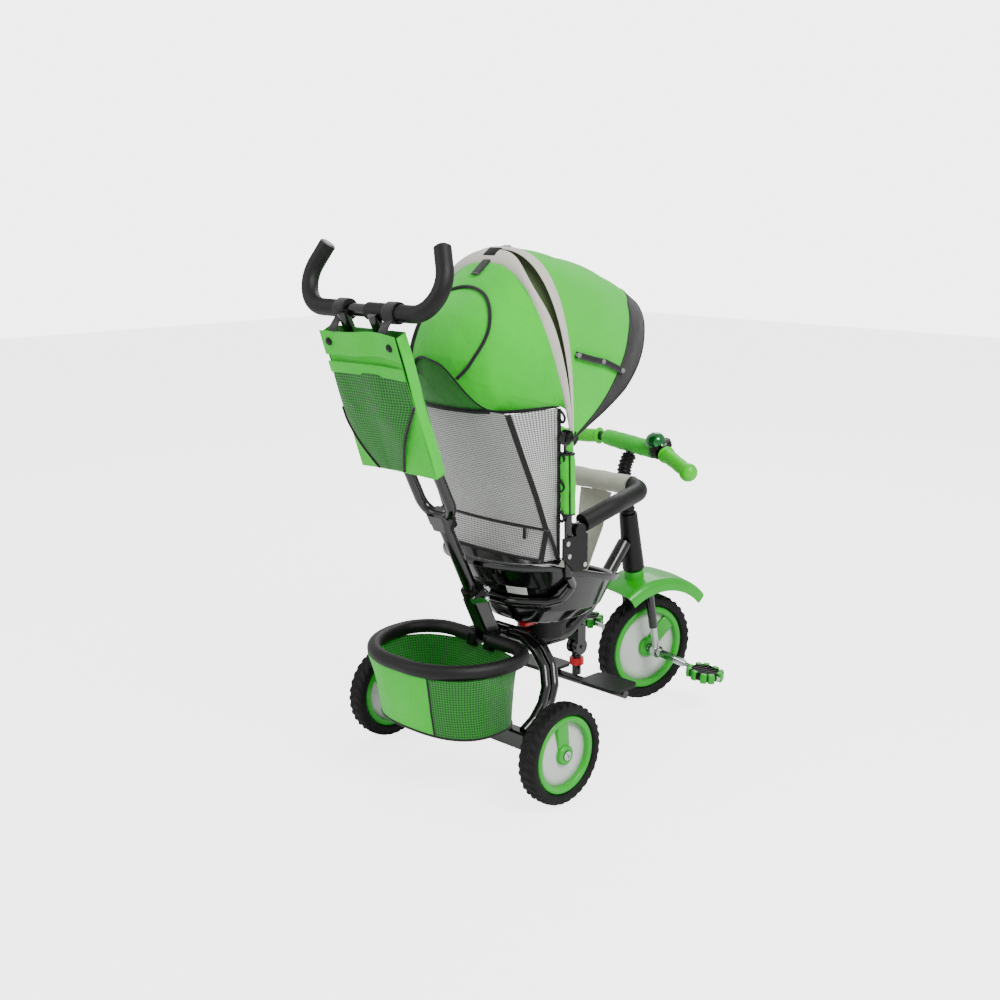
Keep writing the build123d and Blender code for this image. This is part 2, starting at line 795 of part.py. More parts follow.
# ---- push handle -----------------------------------------------------------------------
def make_handle():
    pole_foot, pole_top = 12, 276
    write(rods([(up_pole(pole_foot), up_pole(pole_top))], POLE_R), "push_pole")

    fork_foot = 292
    leg_x = 42
    leg_top = 738
    with BuildPart() as yoke:
        with BuildSketch(Plane(origin=up_pole(262), x_dir=(1, 0, 0), z_dir=POLE_DIR)):
            RectangleRounded(46, 34, 8)
            Circle(POLE_R, mode=Mode.SUBTRACT)
        extrude(amount=14)
        with BuildSketch(Plane(origin=up_pole(276), x_dir=(1, 0, 0), z_dir=POLE_DIR)):
            RectangleRounded(52, 34, 8)
        extrude(amount=22)
    write(yoke, "handle_yoke")

    legs = [up_pole(leg_top, -leg_x), up_pole(fork_foot, -leg_x)]
    legs += [up_pole(fork_foot, leg_x), up_pole(leg_top, leg_x)]
    write(bent_tube(legs, [34, 34], 11), "handle_legs")

    horn = at(157, 209, 1058)
    bend = at(219, 251, 945)
    flip = [(-horn[0], *horn[1:]), (-bend[0], *bend[1:]), bend, horn]
    aim = (Vector(*horn) - Vector(*bend)).normalized()
    with BuildPart() as crossbar:
        add(bent_tube(flip, [58, 58], 12).part)
        for side in (-1, 1):
            way = Vector(side * aim.X, aim.Y, aim.Z)
            with BuildSketch(Plane(origin=(side * horn[0], horn[1], horn[2]), z_dir=way)):
                Circle(13)
            extrude(amount=2.5)
    write(crossbar, "crossbar")

    with BuildPart() as foam:
        for side, start in ((1, 46), (-1, 10)):
            route = [
                (side * start, bend[1], bend[2]),
                (side * bend[0], bend[1], bend[2]),
                (side * horn[0], horn[1], horn[2]),
            ]
            add(bent_tube(route, 58, 16, 12).part)
            with BuildSketch(Plane(origin=up_pole(680, side * leg_x), z_dir=POLE_DIR)):
                Circle(11.2)
            extrude(amount=57, mode=Mode.SUBTRACT)
    write(foam, "foam_grips")


def make_bag():
    slope = radians(19)
    down = (0, -sin(slope), -cos(slope))
    back = (0, cos(slope), -sin(slope))
    top = at(-8, 268, 905)
    with BuildPart() as bag:
        face = Plane(origin=top, x_dir=(1, 0, 0), z_dir=back)
        with BuildSketch(face):
            with Locations((0, 138)):
                RectangleRounded(206, 276, 14)
        extrude(amount=24)
        with BuildSketch(face.offset(3)):
            with Locations((0, 131)):
                Rectangle(200, 276)
        extrude(amount=18, mode=Mode.SUBTRACT)
    write(bag, "bag")

    with BuildPart() as loops:
        for x in (-70, 66):
            with BuildSketch(cross_plane(x - 9, 251, 945)):
                Circle(18.4)
                Circle(16.1, mode=Mode.SUBTRACT)
            extrude(amount=18)
            with BuildSketch(cross_plane(x - 9, 0, 0)):
                with BuildLine():
                    Polyline((266, 934), (268, 934), (274, 906), (272, 906), (266, 934))
                make_face()
            extrude(amount=18)
    write(loops, "bag_loops")


# ---- write everything ------------------------------------------------------------------
os.makedirs("parts", exist_ok=True)
make_frame()
make_clamp_lever()
make_basket()
make_footrest()
make_front_end()
make_crank_and_pedals()
wheel(TRACK_X, 0, REAR_R, REAR_R, REAR_RIM_R, 20, 13, "rear_left")
wheel(-TRACK_X, 0, REAR_R, REAR_R, REAR_RIM_R, 20, 13, "rear_right")
wheel(0, -WHEELBASE, FRONT_AXLE[2], FRONT_R, FRONT_RIM_R, 24, 15, "front", True)
make_seat()
make_canopy_posts()
make_backrest()
make_guard()
make_seat_lock()
make_canopy()
make_handle()
make_bag()
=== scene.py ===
# %% [markdown]
# # A push-along tricycle, dressed over its CAD frame
# Lengths in this lesson are written in millimetres, with y measured back from the rear axle.
# The helper mm() turns them into metres in the shared frame.

import math

import bpy
import numpy as np
from mathutils import Matrix, Vector


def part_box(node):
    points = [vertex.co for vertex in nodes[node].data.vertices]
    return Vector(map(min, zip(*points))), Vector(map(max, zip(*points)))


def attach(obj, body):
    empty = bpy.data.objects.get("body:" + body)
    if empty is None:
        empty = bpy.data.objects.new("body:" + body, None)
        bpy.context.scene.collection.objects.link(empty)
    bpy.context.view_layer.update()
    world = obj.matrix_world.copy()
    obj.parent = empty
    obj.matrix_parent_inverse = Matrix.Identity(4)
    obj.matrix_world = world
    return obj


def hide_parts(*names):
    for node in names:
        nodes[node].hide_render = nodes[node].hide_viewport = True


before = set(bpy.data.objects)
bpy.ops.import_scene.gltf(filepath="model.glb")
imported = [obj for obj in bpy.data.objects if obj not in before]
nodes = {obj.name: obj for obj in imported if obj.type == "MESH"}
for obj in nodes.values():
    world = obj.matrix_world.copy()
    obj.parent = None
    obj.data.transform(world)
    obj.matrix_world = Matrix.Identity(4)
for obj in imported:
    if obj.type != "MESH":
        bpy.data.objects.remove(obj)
AXLE_Y = 203.2
scene = bpy.context.scene


def mm(*points):
    """Points given in millimetres, y from the rear axle, as metres in the shared frame."""
    p = np.array(points, float).reshape(-1, 3) + [0, AXLE_Y, 0]
    return p / 1000


def placed(points):
    """A whole grid of points given in millimetres, as metres in the shared frame."""
    return (points + np.array([0, AXLE_Y, 0])) / 1000


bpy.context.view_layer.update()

# %% [markdown]
# ## Shapes
# Every surface is a grid of points. Its UV map is in metres, so that a weave keeps its size.


# %%
def grid(name, points, round_u=False, round_v=False, capped=False):
    """Quads over points[n, m, 3]; round_u and round_v join the last row to the first."""
    n, m, _ = points.shape
    i, j = np.arange(n if round_u else n - 1), np.arange(m if round_v else m - 1)
    i, j = (a.ravel() for a in np.meshgrid(i, j, indexing="ij"))
    i2, j2 = i + 1, j + 1
    quads = np.stack([i * m + j, i2 % n * m + j, i2 % n * m + j2 % m, i * m + j2 % m], -1)
    flat = points.reshape(-1, 3)
    a, b, c, d = (flat[quads[:, k]] for k in range(4))
    volume = np.einsum("ij,ij->i", a, np.cross(b, c) + np.cross(c, d)).sum()
    volume += 0 if not capped else cap_volume(points)
    faces = quads.tolist()
    if capped:
        faces += [list(range(m))[::-1], list(range((n - 1) * m, n * m))]
    mesh = bpy.data.meshes.new(name)
    mesh.from_pydata(flat.tolist(), [], faces)
    along = np.linalg.norm(np.diff(points, axis=0, append=points[:1]), axis=2).mean(1)
    across = np.linalg.norm(np.diff(points, axis=1, append=points[:, :1]), axis=2).mean(0)
    along, across = np.append(0, along.cumsum()), np.append(0, across.cumsum())
    uv = np.stack([along[[i, i2, i2, i]], across[[j, j, j2, j2]]], -1).transpose(1, 0, 2)
    layer = mesh.uv_layers.new(name="cloth")
    values = np.zeros((len(mesh.loops), 2))
    values[: len(quads) * 4] = uv.reshape(-1, 2)
    layer.data.foreach_set("uv", values.ravel())
    if (capped or (round_u and round_v)) and volume < 0:
        mesh.flip_normals()
    mesh.shade_smooth()
    piece = bpy.data.objects.new(name, mesh)
    scene.collection.objects.link(piece)
    return piece


def cap_volume(points):
    """Six times the signed volume that the two end caps close off."""
    total = 0
    for ring, sign in ((points[0], -1), (points[-1], 1)):
        a, b = ring[1:-1], ring[2:]
        first = np.broadcast_to(ring[0], a.shape)
        total += sign * np.einsum("ij,ij->i", first, np.cross(a, b)).sum()
    return total


def curve(points, count=60):
    """A smooth (Catmull-Rom) line through the points."""
    p = np.asarray(points, float)
    p = np.vstack([2 * p[0] - p[1], p, 2 * p[-1] - p[-2]])
    t = np.linspace(0, len(p) - 3, count)
    k = np.minimum(t.astype(int), len(p) - 4)
    f = (t - k)[:, None]
    a, b, c, d = p[k], p[k + 1], p[k + 2], p[k + 3]
    turn = (2 * a - 5 * b + 4 * c - d) * f**2 + (3 * b - a - 3 * c + d) * f**3
    return 0.5 * (2 * b + (c - a) * f + turn)


def bent(corners, radii, arc=14):
    """Straight runs joined by tangent arcs, like a bent tube's centre line."""
    line = [corners[0]]
    for a, b, c, r in zip(corners[:-2], corners[1:-1], corners[2:], radii):
        u, v = (a - b) / np.linalg.norm(a - b), (c - b) / np.linalg.norm(c - b)
        half = math.acos(np.clip(u @ v, -1, 1)) / 2
        r = r / 1000
        middle = b + (u + v) / np.linalg.norm(u + v) * r / math.sin(half)
        out = (b + u * r / math.tan(half) - middle) / r
        turn = np.linspace(0, math.pi - 2 * half, arc)[:, None]
        line.extend(middle + r * (out * np.cos(turn) - u * np.sin(turn)))
    line.append(corners[-1])
    return np.array(line)


def spaced(line, count):
    """The same line with evenly spaced points."""
    s = np.append(0, np.linalg.norm(np.diff(line, axis=0), axis=1).cumsum())
    return np.stack([np.interp(np.linspace(0, s[-1], count), s, line[:, k]) for k in range(3)], -1)


def sweep(name, line, radius, sides=28, thick=None, up=None, capped=True, joined=False):
    """A tube along a line: ring points are line + radius (cos a n1 + sin a n2).
    With thick and up it's a strap, radius wide and thick deep, whose flat side faces up."""
    line = np.asarray(line, float)
    t = np.gradient(line, axis=0)
    t /= np.linalg.norm(t, axis=1, keepdims=True)
    side = np.empty_like(t)
    if up is None:
        side[0] = np.cross(t[0], [0.31, 0.17, 0.93])
        for k in range(1, len(t)):
            side[k] = side[k - 1] - t[k] * (side[k - 1] @ t[k])
            side[k] /= np.linalg.norm(side[k])
        side[0] /= np.linalg.norm(side[0])
    else:
        side = np.cross(t, up)
        side /= np.linalg.norm(side, axis=1, keepdims=True)
    over = np.cross(side, t)
    a = np.linspace(0, 2 * math.pi, sides, endpoint=False)[None, :, None]
    wide = np.broadcast_to(np.asarray(radius, float), (len(line),))[:, None, None] / 1000
    deep = wide if thick is None else thick / 1000
    c, s = np.cos(a), np.sin(a)
    if thick is not None:
        c, s = np.sign(c) * np.abs(c) ** 0.35, np.sign(s) * np.abs(s) ** 0.6
    rings = line[:, None] + wide * c * side[:, None] + deep * s * over[:, None]
    return grid(name, rings, round_u=joined, round_v=True, capped=capped and not joined)


def lathe(name, profile, centre, axis, steps=96, closed=False):
    """A turned shape: profile rows are (radius, distance along the axis) in millimetres."""
    axis = np.asarray(axis, float) / np.linalg.norm(axis)
    one = np.cross(axis, [0.2, 0.3, 0.9])
    one /= np.linalg.norm(one)
    two = np.cross(axis, one)
    r, h = (np.asarray(profile, float).T / 1000)[:, :, None, None]
    a = np.linspace(0, 2 * math.pi, steps, endpoint=False)[None, :, None]
    rings = centre + r * (np.cos(a) * one + np.sin(a) * two) + h * axis
    if not closed:
        return grid(name, rings, round_v=True, capped=True)
    return grid(name, rings, round_u=True, round_v=True)


def block(name, centre, size, rounding=3, turn=None):
    """A block with rounded edges; turn is a rotation matrix about its own centre."""
    corners = np.array([[x, y, z] for x in (-1, 1) for y in (-1, 1) for z in (-1, 1)], float)
    corners *= np.array(size) / 2000
    if turn is not None:
        corners = corners @ np.array(turn).T
    faces = [(0, 1, 3, 2), (4, 6, 7, 5), (0, 4, 5, 1), (2, 3, 7, 6), (0, 2, 6, 4), (1, 5, 7, 3)]
    mesh = bpy.data.meshes.new(name)
    mesh.from_pydata((corners + centre).tolist(), [], faces)
    mesh.shade_smooth()
    piece = bpy.data.objects.new(name, mesh)
    scene.collection.objects.link(piece)
    bevel = piece.modifiers.new("rounding", "BEVEL")
    bevel.width, bevel.segments = rounding / 1000, 3
    return piece


def pushed(points, amount):
    """A grid moved along its own normals, the cross product of its two directions."""
    n = np.cross(np.gradient(points, axis=0), np.gradient(points, axis=1))
    n /= np.linalg.norm(n, axis=2, keepdims=True) + 1e-12
    return points + n * np.asarray(amount)[..., None] / 1000


def thicken(piece, thickness=1.4, offset=0):
    """Gives a sheet its thickness."""
    wall = piece.modifiers.new("thickness", "SOLIDIFY")
    wall.thickness, wall.offset = thickness / 1000, offset
    return piece


# %% [markdown]
# ## Finishes
# Each finish is a principled shader whose colour wanders a little with soft noise.
# Cloth adds a weave, and a net adds dark holes, from sines of the UV map.


# %%
def linear(r, g, b):
    """A screen colour, 0 to 255, as the linear colour that shaders take."""
    c = np.array([r, g, b]) / 255
    return (*np.where(c <= 0.04045, c / 12.92, ((c + 0.055) / 1.055) ** 2.4), 1)


def finish(name, colour, rough=0.5, vary=0.12, patch=14, grain=0.0, grain_size=700, **sockets):
    """A principled finish: noise wanders its colour and roughness, and grain roughens it."""
    m = bpy.data.materials.new(name)
    m.use_nodes = True
    m.diffuse_color = linear(*colour)
    tree = m.node_tree
    shader = tree.nodes["Principled BSDF"]
    place = tree.nodes.new("ShaderNodeTexCoord")
    noise = tree.nodes.new("ShaderNodeTexNoise")
    noise.inputs["Scale"].default_value = patch
    noise.inputs["Detail"].default_value = 4
    tree.links.new(place.outputs["Object"], noise.inputs["Vector"])
    ramp = tree.nodes.new("ShaderNodeValToRGB")
    base = np.array(linear(*colour))
    for stop, at, level in zip(ramp.color_ramp.elements, (0.3, 0.7), (1 - vary, 1 + vary)):
        stop.position = at
        stop.color = (*np.clip(base[:3] * level, 0, 1), 1)
    tree.links.new(noise.outputs["Fac"], ramp.inputs["Fac"])
    tree.links.new(ramp.outputs["Color"], shader.inputs["Base Color"])
    spread = tree.nodes.new("ShaderNodeMapRange")
    spread.inputs["To Min"].default_value = max(rough - 0.06, 0.02)
    spread.inputs["To Max"].default_value = min(rough + 0.06, 1)
    tree.links.new(noise.outputs["Fac"], spread.inputs["Value"])
    tree.links.new(spread.outputs["Result"], shader.inputs["Roughness"])
    for socket, value in sockets.items():
        shader.inputs[socket.replace("_", " ")].default_value = value
    if grain:
        fine = tree.nodes.new("ShaderNodeTexNoise")
        fine.inputs["Scale"].default_value = grain_size
        bump = tree.nodes.new("ShaderNodeBump")
        bump.inputs["Strength"].default_value = grain
        bump.inputs["Distance"].default_value = 0.0006
        tree.links.new(place.outputs["Object"], fine.inputs["Vector"])
        tree.links.new(fine.outputs["Fac"], bump.inputs["Height"])
        tree.links.new(bump.outputs["Normal"], shader.inputs["Normal"])
    return m


def cloth(name, colour, pitch=1.3, hole=None, rough=0.8, depth=0.35):
    """Woven cloth: height is sin(u) sin(v) of the UV map. A net's hole is its dark colour."""
    m = finish(name, colour, rough, vary=0.07, patch=9, Sheen_Weight=0.25)
    tree = m.node_tree
    shader = tree.nodes["Principled BSDF"]
    place = next(n for n in tree.nodes if n.type == "TEX_COORD")
    turn = tree.nodes.new("ShaderNodeMapping")
    turn.inputs["Scale"].default_value = (2 * math.pi * 1000 / pitch,) * 3
    turn.inputs["Rotation"].default_value = (0, 0, 0.785 if hole else 0)
    tree.links.new(place.outputs["UV"], turn.inputs["Vector"])
    parts = tree.nodes.new("ShaderNodeSeparateXYZ")
    tree.links.new(turn.outputs["Vector"], parts.inputs["Vector"])
    product = tree.nodes.new("ShaderNodeMath")
    product.operation = "MULTIPLY"
    for k, axis in enumerate("XY"):
        wave = tree.nodes.new("ShaderNodeMath")
        wave.operation = "SINE"
        tree.links.new(parts.outputs[axis], wave.inputs[0])
        tree.links.new(wave.outputs[0], product.inputs[k])
    bump = tree.nodes.new("ShaderNodeBump")
    bump.inputs["Strength"].default_value = depth
    bump.inputs["Distance"].default_value = 0.0005
    tree.links.new(product.outputs[0], bump.inputs["Height"])
    tree.links.new(bump.outputs["Normal"], shader.inputs["Normal"])
    creases = tree.nodes.new("ShaderNodeTexNoise")
    creases.inputs["Scale"].default_value = 7
    creases.inputs["Detail"].default_value = 3
    creases.inputs["Distortion"].default_value = 1.6
    soft = tree.nodes.new("ShaderNodeBump")
    soft.inputs["Strength"].default_value = 0.55
    soft.inputs["Distance"].default_value = 0.012
    tree.links.new(place.outputs["Object"], creases.inputs["Vector"])
    tree.links.new(creases.outputs["Fac"], soft.inputs["Height"])
    tree.links.new(soft.outputs["Normal"], bump.inputs["Normal"])
    if hole:
        gap = tree.nodes.new("ShaderNodeMapRange")
        gap.inputs["From Min"].default_value, gap.inputs["From Max"].default_value = 0.0, 0.4
        mix = tree.nodes.new("ShaderNodeMix")
        mix.data_type = "RGBA"
        mix.inputs["B"].default_value = linear(*hole)
        tree.links.new(product.outputs[0], gap.inputs["Value"])
        tree.links.new(gap.outputs["Result"], mix.inputs["Factor"])
        ramp = next(n for n in tree.nodes if n.type == "VALTORGB")
        tree.links.new(ramp.outputs["Color"], mix.inputs["A"])
        tree.links.new(mix.outputs["Result"], shader.inputs["Base Color"])
    return m


LOOK = {
    "black_tube": finish("black_tube", (5, 5, 6), 0.2, Coat_Weight=0.6, grain=0.05),
    "chrome_steel": finish("chrome_steel", (205, 207, 208), 0.16, vary=0.05, Metallic=1.0),
    "black_plastic": finish("black_plastic", (8, 8, 9), 0.42, grain=0.35, Specular_IOR_Level=0.35),
    "gloss_black_plastic": finish("gloss_black_plastic", (4, 4, 5), 0.15, Coat_Weight=0.5),
    "tyre": finish("tyre", (8, 8, 8), 0.62, Specular_IOR_Level=0.3, grain=0.5, grain_size=420),
    "green_plastic": finish("green_plastic", (14, 176, 18), 0.34, Coat_Weight=0.3, grain=0.08),
    "lime_plastic": finish("lime_plastic", (60, 218, 4), 0.38, Coat_Weight=0.2),
    "green_fabric": cloth("green_fabric", (30, 216, 14)),
    # painted shade: the green cloth darkened, for sheets that lie out of the light
    "painted_shade_fabric": cloth("painted_shade_fabric", (10, 132, 10)),
    "beige_fabric": cloth("beige_fabric", (214, 209, 198)),
    "mesh_fabric": cloth("mesh_fabric", (208, 209, 207), 6.2, (58, 60, 58), depth=0.6),
    "green_net": cloth("green_net", (22, 138, 26), 7.6, (2, 44, 6), depth=0.6),
    # painted shade: a dark olive for the hood's inside, seen in shadow through the gap between its bands
    "painted_shade_olive": cloth("painted_shade_olive", (64, 84, 44)),
    "black_fabric": cloth("black_fabric", (8, 8, 8), 1.8, rough=0.85),
    "foam_black": finish("foam_black", (7, 7, 7), 0.5, Specular_IOR_Level=0.4, grain=0.8, grain_size=520),
    "red_plastic": finish("red_plastic", (192, 16, 24), 0.35, Coat_Weight=0.3),
    "bell_green": finish("bell_green", (10, 120, 52), 0.18, Metallic=0.85, Coat_Weight=1.0),
    "white_plastic": finish("white_plastic", (212, 218, 211), 0.45, vary=0.05, grain=0.1),
    "grey_plastic": finish("grey_plastic", (128, 130, 130), 0.5, grain=0.2),
}
print(len(LOOK), "finishes")


def dress(piece, look, body, *stands_for, slot=None):
    """Gives a piece its finish and body, and hides the CAD nodes it stands for."""
    piece.data.materials.append(LOOK[look])
    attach(piece, body)
    if stands_for:
        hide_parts(*stands_for)
    return piece


def is_cloth(piece, held, *rests_on):
    """Works out a sheet's own flat area and a cut a little larger than its two lengths, then returns the
    sheet unchanged.
    """
    layer = piece.data.uv_layers["cloth"].data
    corners = np.empty(len(layer) * 2, np.float32)
    layer.foreach_get("uv", corners)
    width, length = np.ptp(corners.reshape(-1, 2).astype(float), axis=0)
    area = sum(p.area for p in piece.data.polygons)
    grow = max(1.0, (area / (width * length)) ** 0.5 * 1.001)
    width, length = width * grow, length * grow
    area = max(area, 0.31 * width * length)
    return piece


# %% [markdown]
# ## Finishes for the tubes and fittings that stay as CAD
# Everything not named here is drawn again below.

# %%
KEPT = {
    "black_tube": "main_tube rear_stays axle_beam pole_socket basket_hoop footrest_post footrest_bar "
    "footrest_hanger fork handlebar seat_cradle canopy_posts guard_tube push_pole handle_legs "
    "handle_yoke crossbar",
    "chrome_steel": "rear_axle fork_ends crank bracket_screws clamp_lever bell_lever",
    "black_plastic": "head_shell pole_clamp seat_base seat_brackets canopy_hubs footplates "
    "seat_turntable bell_base",
    "red_plastic": "footrest_collar seat_lock_lever",
    "green_plastic": "fender",
    "foam_black": "foam_grips guard_foam basket_rim",
    "bell_green": "bell_dome",
}
for look, names in KEPT.items():
    for name in names.split():
        nodes[name].data.materials.clear()
        nodes[name].data.materials.append(LOOK[look])
print(sum(len(v.split()) for v in KEPT.values()), "CAD nodes dressed")

# %% [markdown]
# ## Wheels
# A tyre is a grid round the wheel and round its own section; the tread is part of the radius.


# %%
def tyre(name, centre, outer, rim, body, node, axis=(1, 0, 0), lugs=34):
    """Radius = section + 2.6 mm lugs, where a square wave of lug angle plus slant times |x| is high."""
    u = np.linspace(0, 2 * math.pi, lugs * 16, endpoint=False)[:, None]
    v = np.linspace(0, 2 * math.pi, 72, endpoint=False)[None, :]
    wide, deep = 20.5, (outer - rim) / 2
    x = wide * np.sign(np.sin(v)) * np.abs(np.sin(v)) ** 0.62
    r = (outer + rim) / 2 - 1.3 + (deep - 1.3) * np.sign(np.cos(v)) * np.abs(np.cos(v)) ** 0.62
    wave = np.sin(lugs * u + 0.26 * np.abs(x)) * 3.2
    lug = 1 / (1 + np.exp(-2.2 * wave))
    lug = lug * np.clip((np.abs(x) - 1.6) / 1.2, 0, 1)
    shoulder = np.clip((r - (outer - 9)) / 4, 0, 1)
    r = r + shoulder * 2.6 * lug
    return tyre_mesh(name, centre, r + 0 * u, x + 0 * u, u + 0 * v, body, node, axis)


def tyre_mesh(name, centre, r, x, u, body, node, axis):
    """The tyre's points: centre + r (cos u one + sin u two) + x axis."""
    axis = np.array(axis, float)
    one = np.cross(axis, [0, 1, 0])
    one /= np.linalg.norm(one)
    two = np.cross(axis, one)
    r, x, u = (a[..., None] for a in (r / 1000, x / 1000, u))
    points = centre + r * (np.cos(u) * one + np.sin(u) * two) + x * axis
    return dress(grid(name, points, round_u=True, round_v=True), "tyre", body, node)


def wheel(name, centre, outer, rim, hub, ring, body, tyre_node, rim_node, axis, spoke):
    """Tyre, green ring, white dished disc, green hub and the one wide green spoke each side."""
    tyre(name + "_tread", centre, outer, rim, body, tyre_node, axis)
    a = np.array(axis, float)
    band = [(rim - ring, -15), (rim - ring + 3, -17), (rim - 2, -17), (rim, -15)]
    band += [(r, -h) for r, h in band[::-1]]
    dress(lathe(name + "_ring", band, centre, a, closed=True), "green_plastic", body, rim_node)
    dish = [(hub - 4, -9), (hub + 6, -9), ((rim + hub) / 2, -5), (rim - ring + 1, -6)]
    dish += [(r, -h) for r, h in dish[::-1]]
    dress(lathe(name + "_disc", dish, centre, a, closed=True), "white_plastic", body, slot="green_plastic")
    boss = [(9, -14), (10, -19), (hub - 5, -19), (hub - 1, -17), (hub, -8)]
    boss += [(r, -h) for r, h in boss[::-1]]
    dress(lathe(name + "_hub", boss, centre, a, closed=True), "green_plastic", body)
    cap = [(0.01, -21.5), (5, -21.2), (7.2, -19), (7.2, 19), (5, 21.2), (0.01, 21.5)]
    dress(lathe(name + "_axle_end", cap, centre, a, 32), "chrome_steel", body)
    ray = np.array([0, math.sin(math.radians(spoke)), math.cos(math.radians(spoke))])
    ray -= a * (ray @ a)
    ray /= np.linalg.norm(ray)
    turn = np.stack([a, np.cross(ray, a), ray], -1)
    middle = centre + ray * (rim - ring + hub) / 2000
    size = (27, hub * 1.55, rim - ring - hub + 10)
    dress(block(name + "_spoke", middle, size, 3, turn), "green_plastic", body)


TILT, REST = math.radians(10), math.radians(-12)
steer_dir = np.array([0, math.sin(TILT), math.cos(TILT)])
steer_at = mm((0, -520, 321))[0]
turn_front = np.array(Matrix.Rotation(REST, 3, Vector(steer_dir)))


def turned(points):
    """Points of the steered front end, turned with it to its place at rest."""
    return (np.asarray(points) - steer_at) @ turn_front.T + steer_at


side_axis = turn_front @ np.array([1.0, 0, 0])
for name, x, spoke in (("left", 250, 40), ("right", -250, 5)):
    centre, body, node = mm((x, 0, 100))[0], "rear_wheel_" + name, "rear_" + name
    wheel(node, centre, 100, 77, 20, 13, body, node + "_tyre", node + "_rim", (1, 0, 0), spoke)
front_at = turned(mm((0, -563, 125.39)))[0]
wheel("front", front_at, 125, 97, 24, 15, "front_wheel", "front_tyre", "front_rim", side_axis, -50)
print("three wheels")

# %% [markdown]
# ## Canopy
# Bows are superellipses fanned about a side pivot. Point: x = -half cos(t)^(2/n), and
# r = reach sin(t)^(2/n) - low (1 - sin(t)^(2/n)), laid off at the bow's angle from straight ahead.


# %%
def fan(pivot, angle, half, reach, low, t, power=2.5):
    """Points on bows at the given angles, for t from one side (0) over the top to the other (pi)."""
    c, k = np.cos(t), np.abs(np.sin(t)) ** (2 / power)
    x = -half * np.sign(c) * np.abs(c) ** (2 / power)
    r = reach * k - low * (1 - k)
    a = np.radians(angle)
    y, z = pivot[0] - r * np.cos(a), pivot[1] + r * np.sin(a)
    return placed(np.stack(np.broadcast_arrays(x, y, z), -1))


REAR_REACH = np.array(
    [(90, 285), (96, 279), (103, 260), (113, 238), (130, 223), (141, 212), (151, 204), (165, 180), (182, 148)]
)
REAR_HALF = np.array([(96, 171), (118, 170), (142, 164), (164, 158), (180, 146)])


def rear(angle, t, power=2.5):
    """The rear half of the hood, about the seat's upper pivots."""
    half, reach = (np.interp(angle, *table.T) for table in (REAR_HALF, REAR_REACH))
    return fan((-94, 752), angle, half, reach, 8, t, power)


def front(angle, t):
    """The front half of the hood, about the hubs that it folds on."""
    reach = np.interp(angle, [28, 37, 52, 72, 92, 99], [412, 411, 376, 352, 354, 352])
    return fan((-102, 692), angle, 184, reach, 26, t)


T = np.linspace(0, math.pi, 150)[None, :]
S = np.linspace(0, 1, 60)[:, None]
inward = np.minimum(T, math.pi - T)
seam = 99 + 7 * np.clip((1.4 - inward) / 1.2, 0, 1)
HEM_T = [0, 0.93, 1.05, 1.2, 1.34, 1.52, 1.76, 1.98, 2.15, 2.3, math.pi]
HEM_ANGLE = [181, 181, 178, 170, 162, 154.5, 151.5, 154.5, 164, 181, 181]
hem = np.interp(T, HEM_T, HEM_ANGLE)
hem = np.stack([np.convolve(np.pad(row, 4, "edge"), np.ones(9) / 9, "valid") for row in hem])
ease = np.sin(math.pi * S) * np.clip(inward / 0.5, 0, 1)
folds = 2.2 * np.sin(9 * T + 3 * S) * np.sin(2.2 * T) ** 2 * S + 1.4 * np.sin(23 * T + 5 * S) * S**3
rear_shape = pushed(rear(seam + (hem - seam) * S, T), ease * folds)
hood_rear = dress(grid("hood_rear_panel", rear_shape), "green_fabric", "seat", "canopy_rear")
is_cloth(thicken(hood_rear), "stretched", "canopy_posts")

flap_t = np.linspace(0.72, math.pi - 0.72, 110)[None, :]
flap_top = np.interp(flap_t, HEM_T, HEM_ANGLE) - 4
flap = rear(flap_top + (184 - flap_top) * S, flap_t)
flap = flap + (mm((0, -94, 752)) - flap) * 0.035
# The flap is the green cloth; its darker green is painted shade, since it faces back and down, out of the
# light.
piece = dress(grid("hood_rear_flap", flap), "painted_shade_fabric", "seat", slot="green_fabric")
is_cloth(thicken(piece), "hung", "canopy_posts")

gap = np.exp(-(((inward - 0.92) / 0.36) ** 2)) + 0.3 * np.exp(-(((inward - 0.4) / 0.22) ** 2))
rear_edge = front(94.2 + 5.2 * gap, T)
back_line = rear(seam, T)
B = np.linspace(0, 1, 14)[:, None]
bulge = 5 * np.sin(math.pi * B) * np.clip(inward / 0.6, 0, 1)
band = back_line + (rear_edge - back_line) * B[..., None]
piece = dress(grid("hood_rear_band", pushed(band, 0.8 * bulge)), "beige_fabric", "seat")
is_cloth(thicken(piece), "stretched", "canopy_posts")
fore = front(93.4 - 5 * B, T)
piece = dress(grid("hood_front_band", pushed(fore, 0.6 * bulge)), "beige_fabric", "canopy_hood")
is_cloth(thicken(piece), "stretched", "canopy_posts")
# A sheet tucked into the gap between the beige bands, painted dark olive: painted shade for the hood's shaded
# inside.
gap_shade_sheet = back_line + (front(92, T) - back_line) * B[..., None]
gap_shade_sheet = pushed(gap_shade_sheet, -14 * np.sin(math.pi * B) ** 0.5 * np.clip(inward / 0.4, 0, 1) - 1.5)
piece = dress(grid("hood_gap_painted_shade", gap_shade_sheet), "painted_shade_olive", "seat", slot="green_fabric")
is_cloth(thicken(piece), "stretched", "canopy_posts")

